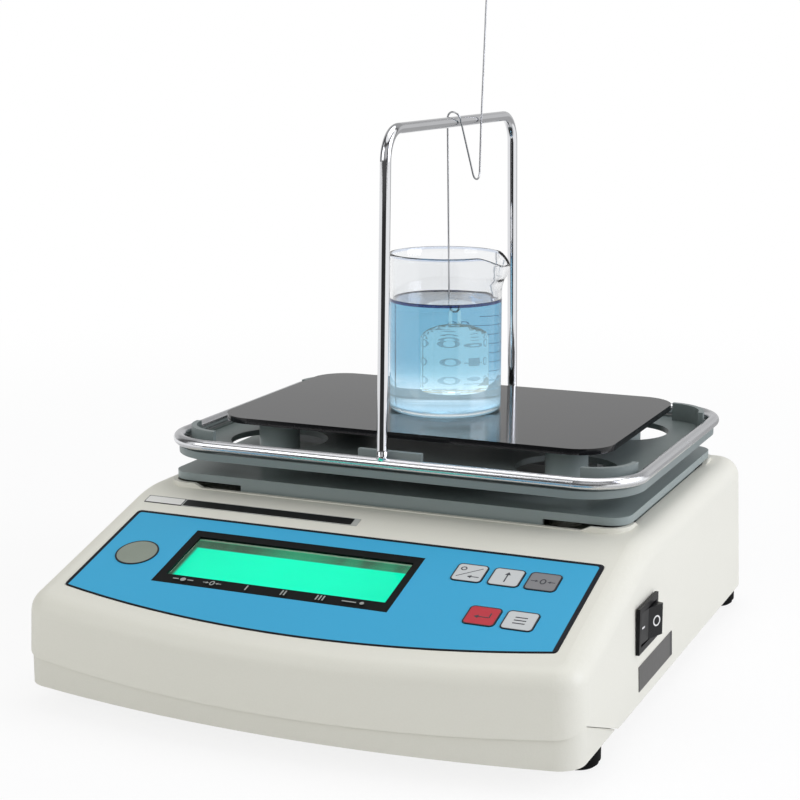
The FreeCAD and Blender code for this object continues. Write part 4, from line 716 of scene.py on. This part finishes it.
class MakeBeaker(bpy.types.Operator):
    """Makes the glass beaker with its spout and its scale"""
    bl_idname = "density_meter.beaker"
    bl_label = "Beaker"
    centre = (-1.0, 43.1)
    foot, rim = 100.4, 170.4

    def execute(self, context):
        glass = context.scene.meter_glass
        outer, wall = glass.radius / MM, glass.wall / MM
        inner = outer - wall
        floor = self.foot + glass.floor / MM
        profile = [(3.0, self.foot + 0.6), (outer - 9.0, self.foot + 0.4),
                   (outer - 4.0, self.foot + 0.05)]
        profile += arc((outer - 2.4, self.foot + 2.4), 2.4, -88, 0, 8)
        profile += [(outer, self.foot + h) for h in range(6, 60, 6)]
        profile += [(outer, self.rim - 9), (outer, self.rim - 7.5), (outer, self.rim - 6),
                    (outer, self.rim - 4.5), (outer + 0.05, self.rim - 3.2),
                    (outer + 0.2, self.rim - 2.1), (outer + 0.45, self.rim - 1.2)]
        profile += arc((outer - 0.35, self.rim - 0.85), 0.85, 0, 180, 8)
        profile += [(inner - 0.03, self.rim - 2.6), (inner, self.rim - 3.8),
                    (inner, self.rim - 5), (inner, self.rim - 6.5), (inner, self.rim - 8)]
        profile += [(inner, self.rim - h) for h in range(12, 62, 6)]
        profile += arc((inner - 1.8, floor + 1.8), 1.8, 0, -88, 7)
        profile += [(inner - 6, floor), (3.0, floor)]
        shape = turned(profile, self.centre, 128)
        self.draw_spout(shape, glass)
        look = Look("beaker_glass", Roughness=0.0, IOR=1.47, Transmission_Weight=1.0)
        tint = look.spots(25, 2)
        # Painted shade: the glass is tinted darker blue along the top of its lip.
        lip = (look.z / MM).rise(self.rim - 1.5, self.rim - 1.0)
        colour = look.mix(lip * 0.5, (0.91, 0.92, 0.93), (0.5, 0.6, 0.8))
        look.fix("Base Color", look.shade(colour, 0.985 + tint * 0.015))
        look.relief(look.spots(45, 1), 0.03, 0.25)
        beaker = finished(shape, "beaker_with_spout", "beaker_body", look)
        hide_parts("beaker")
        self.print_scale(context, glass)
        return {"FINISHED"}

    def draw_spout(self, shape, glass):
        """Pulls the rim out and down on one side, and the wall below it a little."""
        lip = Vector((self.centre[0] * MM + glass.radius, self.centre[1] * MM))
        bpy.ops.object.mode_set(mode="EDIT")
        bpy.ops.mesh.select_mode(type="VERT")
        bpy.ops.mesh.select_all(action="DESELECT")
        mesh = bmesh.from_edit_mesh(shape.data)
        for vertex in mesh.verts:
            near = (Vector(vertex.co.xy) + shape.location.xy - lip).length
            vertex.select = near < 2.6 * MM and shape.location.z + vertex.co.z > 168.2 * MM
        mesh.select_flush(True)
        bmesh.update_edit_mesh(shape.data)
        bpy.ops.transform.translate(
            value=(glass.spout_reach, 0, -glass.spout_drop), use_proportional_edit=True,
            proportional_edit_falloff="SMOOTH", proportional_size=13 * MM)
        bpy.ops.object.mode_set(mode="OBJECT")

    def print_scale(self, context, glass):
        """White volume marks with numbers on the far side, fired on the outside of the wall."""
        ink = Look("fired_print", Specular_IOR_Level=0.3)
        speck = ink.spots(1100, 3, 0.7)
        ink.fix("Base Color", ink.shade(paint(214, 222, 228), 0.85 + speck * 0.2))
        ink.fix("Roughness", 0.55 + (speck - 0.5) * 0.2)
        ink.fix("Alpha", 0.42 + (speck - 0.5) * 0.2)
        # A painted glow: the marks give off a faint blue light of their own.
        ink.fix("Emission Color", (0.1, 0.24, 0.36))
        ink.fix("Emission Strength", 0.4)
        away = math.radians(90) + CAMERA_TURN
        # Heights above the bench, and places across, in millimetres.
        step, first, text_left, text_wide = 8.25, 111.0, -6.5, 5.3
        line_left, long_line, short_line = -12.0, 5.0, 3.5
        parts = []
        for mark in range(4):
            height = (first + mark * step) * MM
            bpy.ops.object.text_add(location=(0, 0, 0))
            text = bpy.context.object
            text.data.body = str(20 * (mark + 1))
            text.data.size = 5.2 * MM
            text.data.align_x = "LEFT"
            text.data.align_y = "CENTER"
            text.data.resolution_u = 4
            context.view_layer.update()
            text.scale.x = text_wide * MM / text.dimensions.x
            parts.append((text, (text_left * MM, height)))
        outlines = []
        for mark in range(-1, 8):
            height = first + mark * step / 2
            length = long_line if mark % 2 == 0 else short_line
            outlines.append(stroke((line_left, height), (line_left + length, height), 0.45))
        lines = flat_print(outlines, 0)
        bpy.context.scene.collection.objects.link(lines)
        parts.append((lines, (0, 0)))
        deselect()
        for thing, (across, up) in parts:
            thing.location = (across, up, 0)
            thing.select_set(True)
        bpy.context.view_layer.objects.active = parts[0][0]
        bpy.ops.object.convert(target="MESH")
        bpy.ops.object.transform_apply(location=True, rotation=True, scale=True)
        bpy.ops.object.join()
        scale = bpy.context.object
        bpy.ops.object.mode_set(mode="EDIT")
        bpy.ops.mesh.select_all(action="SELECT")
        bpy.ops.mesh.quads_convert_to_tris()
        bpy.ops.mesh.subdivide(number_cuts=2)
        bpy.ops.object.mode_set(mode="OBJECT")
        wrap(scale, self.centre, glass.radius + 0.02 * MM, away)
        thick = scale.modifiers.new("ink", "SOLIDIFY")
        thick.thickness = 0.05 * MM
        thick.offset = 1
        bpy.context.view_layer.objects.active = scale
        bpy.ops.object.modifier_apply(modifier="ink")
        finished(scale, "beaker_scale", "beaker_body", ink, 30)


class MakeContents(bpy.types.Operator):
    """Fills the beaker and finishes the glass sinker"""
    bl_idname = "density_meter.contents"
    bl_label = "Liquid and sinker"

    def execute(self, context):
        glass = context.scene.meter_glass
        overlap = 0.12
        inner = (glass.radius - glass.wall) / MM + overlap
        level, floor = glass.level / MM, MakeBeaker.foot + glass.floor / MM - overlap
        profile = [(3.0, floor), (inner - 6, floor)]
        profile += arc((inner - 1.9, floor + 1.9), 1.9, -88, 0, 7)
        profile += [(inner, level - 12), (inner, level - 2), (inner, level + 0.5),
                    (inner - 0.35, level + 0.32), (inner - 0.8, level + 0.12),
                    (inner - 1.5, level + 0.03), (inner - 2.6, level), (3.0, level)]
        shape = turned(profile, MakeBeaker.centre, 128)
        look = Look("tinted_water", Roughness=0.0, IOR=1.333, Transmission_Weight=1.0)
        cloud = look.spots(30, 2)
        height = look.z / MM
        # Painted light: the liquid is painted paler towards the bottom of the beaker.
        pale = tuple(1 - (1 - c) * 0.55 for c in glass.liquid)
        tint = look.shade(look.mix(height.rise(106, 122), pale, glass.liquid),
                          1 + (cloud - 0.5) * 0.04)
        dx, dy = look.x / MM - MakeBeaker.centre[0], look.y / MM - MakeBeaker.centre[1]
        # Painted reflection: the top of the liquid is painted a pale grey-violet.
        surface = height.rise(level - 0.3, level - 0.05)
        # Painted shade: a dark blue ring round the edge of the liquid's top.
        edge = height.rise(level - 1.1, level - 0.8)
        ring = (dx * dx + dy * dy).root().rise(inner - 2.4, inner - 1.4) * edge
        tint = look.mix(surface * 0.6, tint, paint(206, 200, 222))
        look.fix("Base Color", look.mix(ring, tint, paint(10, 18, 62)))
        # A painted glow: emission stands in for the light that the thick bottom of the glass gathers
        # and spreads into the liquid.
        low = (1 - height.rise(109, 121)) * (0.75 + height.rise(104, 110) * 0.5)
        look.fix("Emission Color", look.shade((0.37, 0.49, 0.53), low))
        look.fix("Emission Strength", 0.33)
        finished(shape, "liquid", "beaker_body", look, 50)

        bulb = Look("sinker_glass", Roughness=0.0, IOR=1.09, Transmission_Weight=1.0)
        swirl = bulb.spots(50, 2)
        facing = bulb.node("ShaderNodeLayerWeight", {}, {"Blend": 0.5}, 1)
        # Painted shade: the sinker's edges, and more of its domed top, are painted dark blue-grey
        # where they turn away.
        top = (bulb.z / MM).rise(132, 137)
        rim = facing.rise(0.72, 0.99) * 0.75 + facing.rise(0.45, 0.9) * top * 0.25
        clear = bulb.shade((0.97, 0.985, 0.985), 0.97 + swirl * 0.03)
        bulb.fix("Base Color", bulb.mix(rim, clear, paint(58, 78, 98)))
        # A painted glow: the sinker gives off a faint warm light of its own.
        bulb.fix("Emission Color", (1.0, 0.84, 0.6))
        bulb.fix("Emission Strength", 0.12)
        bulb.put_on("sinker")
        return {"FINISHED"}


class MakeFeet(bpy.types.Operator):
    """Finishes the levelling feet"""
    bl_idname = "density_meter.feet"
    bl_label = "Feet"

    def execute(self, context):
        corners = ("front_left", "front_right", "back_left", "back_right")
        look = plain_rubber("foot_knob_look", paint(9, 9, 10))
        look.put_on(*("foot_knob_" + corner for corner in corners))
        steel = turned_metal("stud_steel_look", paint(178, 180, 184))
        steel.put_on(*("foot_stud_" + corner for corner in corners))
        turned_metal("insert_brass_look", paint(196, 160, 92)).put_on("foot_inserts")
        return {"FINISHED"}


class MakeInside(bpy.types.Operator):
    """Finishes the parts inside the case"""
    bl_idname = "density_meter.inside"
    bl_label = "Inside"

    def execute(self, context):
        turned_metal("cast_aluminium", paint(186, 188, 190), 0.42).put_on(
            "load_cell_riser", "load_cell", "pan_support")
        turned_metal("screw_steel", paint(160, 162, 166), 0.3).put_on(
            "display_screws", "load_cell_screws", "overload_stop", "pan_support_screws",
            "lower_tray_screws", "board_screws", "case_screws", "jack_nut")
        bright_metal("dome_steel_look", paint(200, 202, 205), 0.2).put_on("key_domes")
        board = Look("board_look", Specular_IOR_Level=0.5)
        tracks = board.cells(700)
        weave = board.spots(2500, 2, 0.6)
        board.fix("Base Color", board.mix(tracks.rise(0.3, 0.5) * 0.4,
                                          board.shade(paint(26, 92, 54), 0.85 + weave * 0.3),
                                          paint(64, 130, 82)))
        board.fix("Roughness", 0.35 + (weave - 0.5) * 0.2)
        board.put_on("main_board", "display_board")
        plain_rubber("cable_look", paint(46, 46, 50)).put_on(
            "display_cable", "load_cell_cable", "power_cable", "switch_cable")
        return {"FINISHED"}


class MakeStage(bpy.types.Operator):
    """Lays the floor and sets the sky, the lamps and the camera"""
    bl_idname = "density_meter.stage"
    bl_label = "Stage"

    def execute(self, context):
        stage = context.scene.meter_stage
        deselect()
        bpy.ops.mesh.primitive_plane_add(size=14, location=(0, 0, -0.0002))
        floor = bpy.context.object
        floor.name = "floor"
        self.finish_floor(floor, stage)
        self.light_sky(context.scene, stage)
        self.add_lamp("key_lamp", location=(1.4, 0.15, 0.7), size=1.0, power=13.4,
                      colour=(0.89, 0.905, 1.0))
        self.add_lamp("top_lamp", location=(0.1, 0.3, 1.6), size=1.2, power=6.5)
        self.add_lamp("fill_lamp", location=(-1.0, -1.4, 0.9), size=1.0, power=7.2)
        bpy.ops.object.camera_add(location=(0.2972, -0.6959, 0.2648),
                                  rotation=(math.radians(78.58), 0, CAMERA_TURN))
        camera = bpy.context.object
        camera.data.sensor_width = 36
        camera.data.lens = 81.43
        camera.data.clip_start, camera.data.clip_end = 0.01, 30
        context.scene.camera = camera
        context.scene.view_settings.view_transform = "Standard"
        context.scene.cycles.max_bounces = 24
        context.scene.cycles.transmission_bounces = 24
        return {"FINISHED"}

    def finish_floor(self, floor, stage):
        look = Look("floor_paper", Specular_IOR_Level=0.1)
        fibre = look.spots(220, 4, 0.6)
        look.fix("Base Color", look.shade(stage.floor, 0.99 + (fibre - 0.5) * 0.02))
        look.fix("Roughness", 0.8 + (fibre - 0.5) * 0.1)
        plain = look.ray("Is Camera Ray").most(look.ray("Is Transmission Ray"))
        mirrored = look.ray("Is Glossy Ray") * (1 - plain)
        far = (look.x * look.x + look.y * look.y).root()
        strength = plain + mirrored * self.bench_in_mirror(look, far)
        glow = look.node("ShaderNodeEmission", {}, {"Color": (1, 1, 1), "Strength": strength})
        both = look.node("ShaderNodeMixShader", {}, {
            0: plain * (0.84 + far.rise(0.25, 1.0) * 0.16) + mirrored,
            1: Number(look, look.shader.outputs[0]), 2: glow})
        output = look.tree.nodes["Material Output"]
        look.join(output.inputs["Surface"], both)
        floor.data.materials.append(look.material)

    def light_sky(self, scene, stage):
        """A sky that lights evenly, is seen as white, and is mirrored as a studio with soft boxes."""
        world = bpy.data.worlds.new("sky")
        scene.world = world
        world.use_nodes = True
        sky = Sky(world)
        background = sky.tree.nodes["Background"]
        background.inputs["Color"].default_value = (1, 1, 1, 1)
        plain = sky.ray("Is Camera Ray").most(sky.ray("Is Transmission Ray"))
        mirrored = sky.ray("Is Glossy Ray") * (1 - plain)
        lit = (1 - plain) * (1 - mirrored) * stage.sky
        sky.join(background.inputs["Strength"], plain + mirrored * self.studio(sky) + lit)

    def bearing(self, look):
        """Degrees to the right of the way that the camera looks, about the middle of the case."""
        ahead = look.y * math.cos(CAMERA_TURN) - look.x * math.sin(CAMERA_TURN)
        right = look.x * math.cos(CAMERA_TURN) + look.y * math.sin(CAMERA_TURN)
        return look.node("ShaderNodeMath", {"operation": "ARCTAN2"}, [right, ahead]) * (
            180 / math.pi)

    def bench_in_mirror(self, look, far):
        """What rods mirror of the bench: pale sides and a dark room behind the camera."""
        way = self.bearing(look)
        left = way.between(-122, 14, 4) * 0.92
        right = way.between(62, 154, 4) * 1.0
        ahead = way.between(14, 62, 4) * 0.4
        pattern = left + right + ahead + 0.03
        near = 1 - far.rise(0.22, 0.4)
        return near * 0.6 + (1 - near) * pattern

    def studio(self, sky):
        """What a mirror shows: a white wall behind, a bright box at the right and one above."""
        way = self.bearing(sky)
        high = sky.z
        low_wall = 1 - high.rise(0.3, 0.42)
        wall = way.between(-52, 58, 8) * (low_wall * 0.22 + 0.3)
        right_box = way.between(66, 128, 3) * high.between(-0.1, 0.75, 0.04) * 1.05
        left_box = way.between(-102, -88, 2) * high.between(-0.2, 0.7, 0.04) * 0.75
        behind = (1 - way.between(-150, 150, 6)) * high.between(0.16, 0.7, 0.05) * 0.4
        top_box = high.rise(0.8, 0.88) * 0.95
        return (wall + right_box + left_box + behind).most(top_box) + 0.09

    def add_lamp(self, name, location, size, power, colour=(1, 1, 1)):
        data = bpy.data.lights.new(name, "AREA")
        data.size = size
        data.energy = power
        data.color = colour
        lamp = bpy.data.objects.new(name, data)
        bpy.context.scene.collection.objects.link(lamp)
        lamp.location = location
        aim = Vector((0, 0, 0.08)) - Vector(location)
        lamp.rotation_euler = aim.to_track_quat("-Z", "Y").to_euler()


class Sky(Look):
    """The world's nodes, with the same ways of adding to them as a material's."""

    def __init__(self, world):
        self.tree = world.node_tree
        way = self.node("ShaderNodeTexCoord", output="Generated")
        self.x, self.y, self.z = (
            self.node("ShaderNodeSeparateXYZ", {}, [way], output) for output in range(3))


def wrap(thing, centre, radius, away):
    """Bends a flat shape round an upright cylinder; its own x goes round and its y goes up."""
    for vertex in thing.data.vertices:
        across, up, _ = vertex.co
        angle = away + across / radius
        vertex.co = (centre[0] * MM + radius * math.cos(angle),
                     centre[1] * MM + radius * math.sin(angle), up)


class DENSITY_METER_PT_pieces(bpy.types.Panel):
    """Lists the pieces, with their settings"""
    bl_label = "Density meter"
    bl_idname = "DENSITY_METER_PT_pieces"
    bl_space_type = "VIEW_3D"
    bl_region_type = "UI"
    bl_category = "Density meter"

    def draw(self, context):
        for operator in OPERATORS:
            self.layout.operator(operator.bl_idname)
        for name in SETTINGS:
            box = self.layout.box()
            for prop in SETTINGS[name].__annotations__:
                box.prop(getattr(context.scene, name), prop)


SETTINGS = {
    "meter_case": CaseSettings,
    "meter_weighing": WeighingSettings,
    "meter_glass": GlassSettings,
    "meter_stage": StageSettings,
}
OPERATORS = (MakeHousing, MakePanel, MakeKeys, MakeDisplay, MakeSwitch, MakeTrays, MakeRods,
             MakeBeaker, MakeContents, MakeFeet, MakeInside, MakeStage)
CLASSES = (*SETTINGS.values(), *OPERATORS, DENSITY_METER_PT_pieces)


def register():
    for cls in CLASSES:
        bpy.utils.register_class(cls)
    for name, settings in SETTINGS.items():
        setattr(bpy.types.Scene, name, bpy.props.PointerProperty(type=settings))


def unregister():
    for name in SETTINGS:
        delattr(bpy.types.Scene, name)
    for cls in reversed(CLASSES):
        bpy.utils.unregister_class(cls)


def main():
    register()
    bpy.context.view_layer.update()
    for operator in OPERATORS:
        getattr(bpy.ops.density_meter, operator.bl_idname.split(".")[1])()


if __name__ == "__main__":
    main()
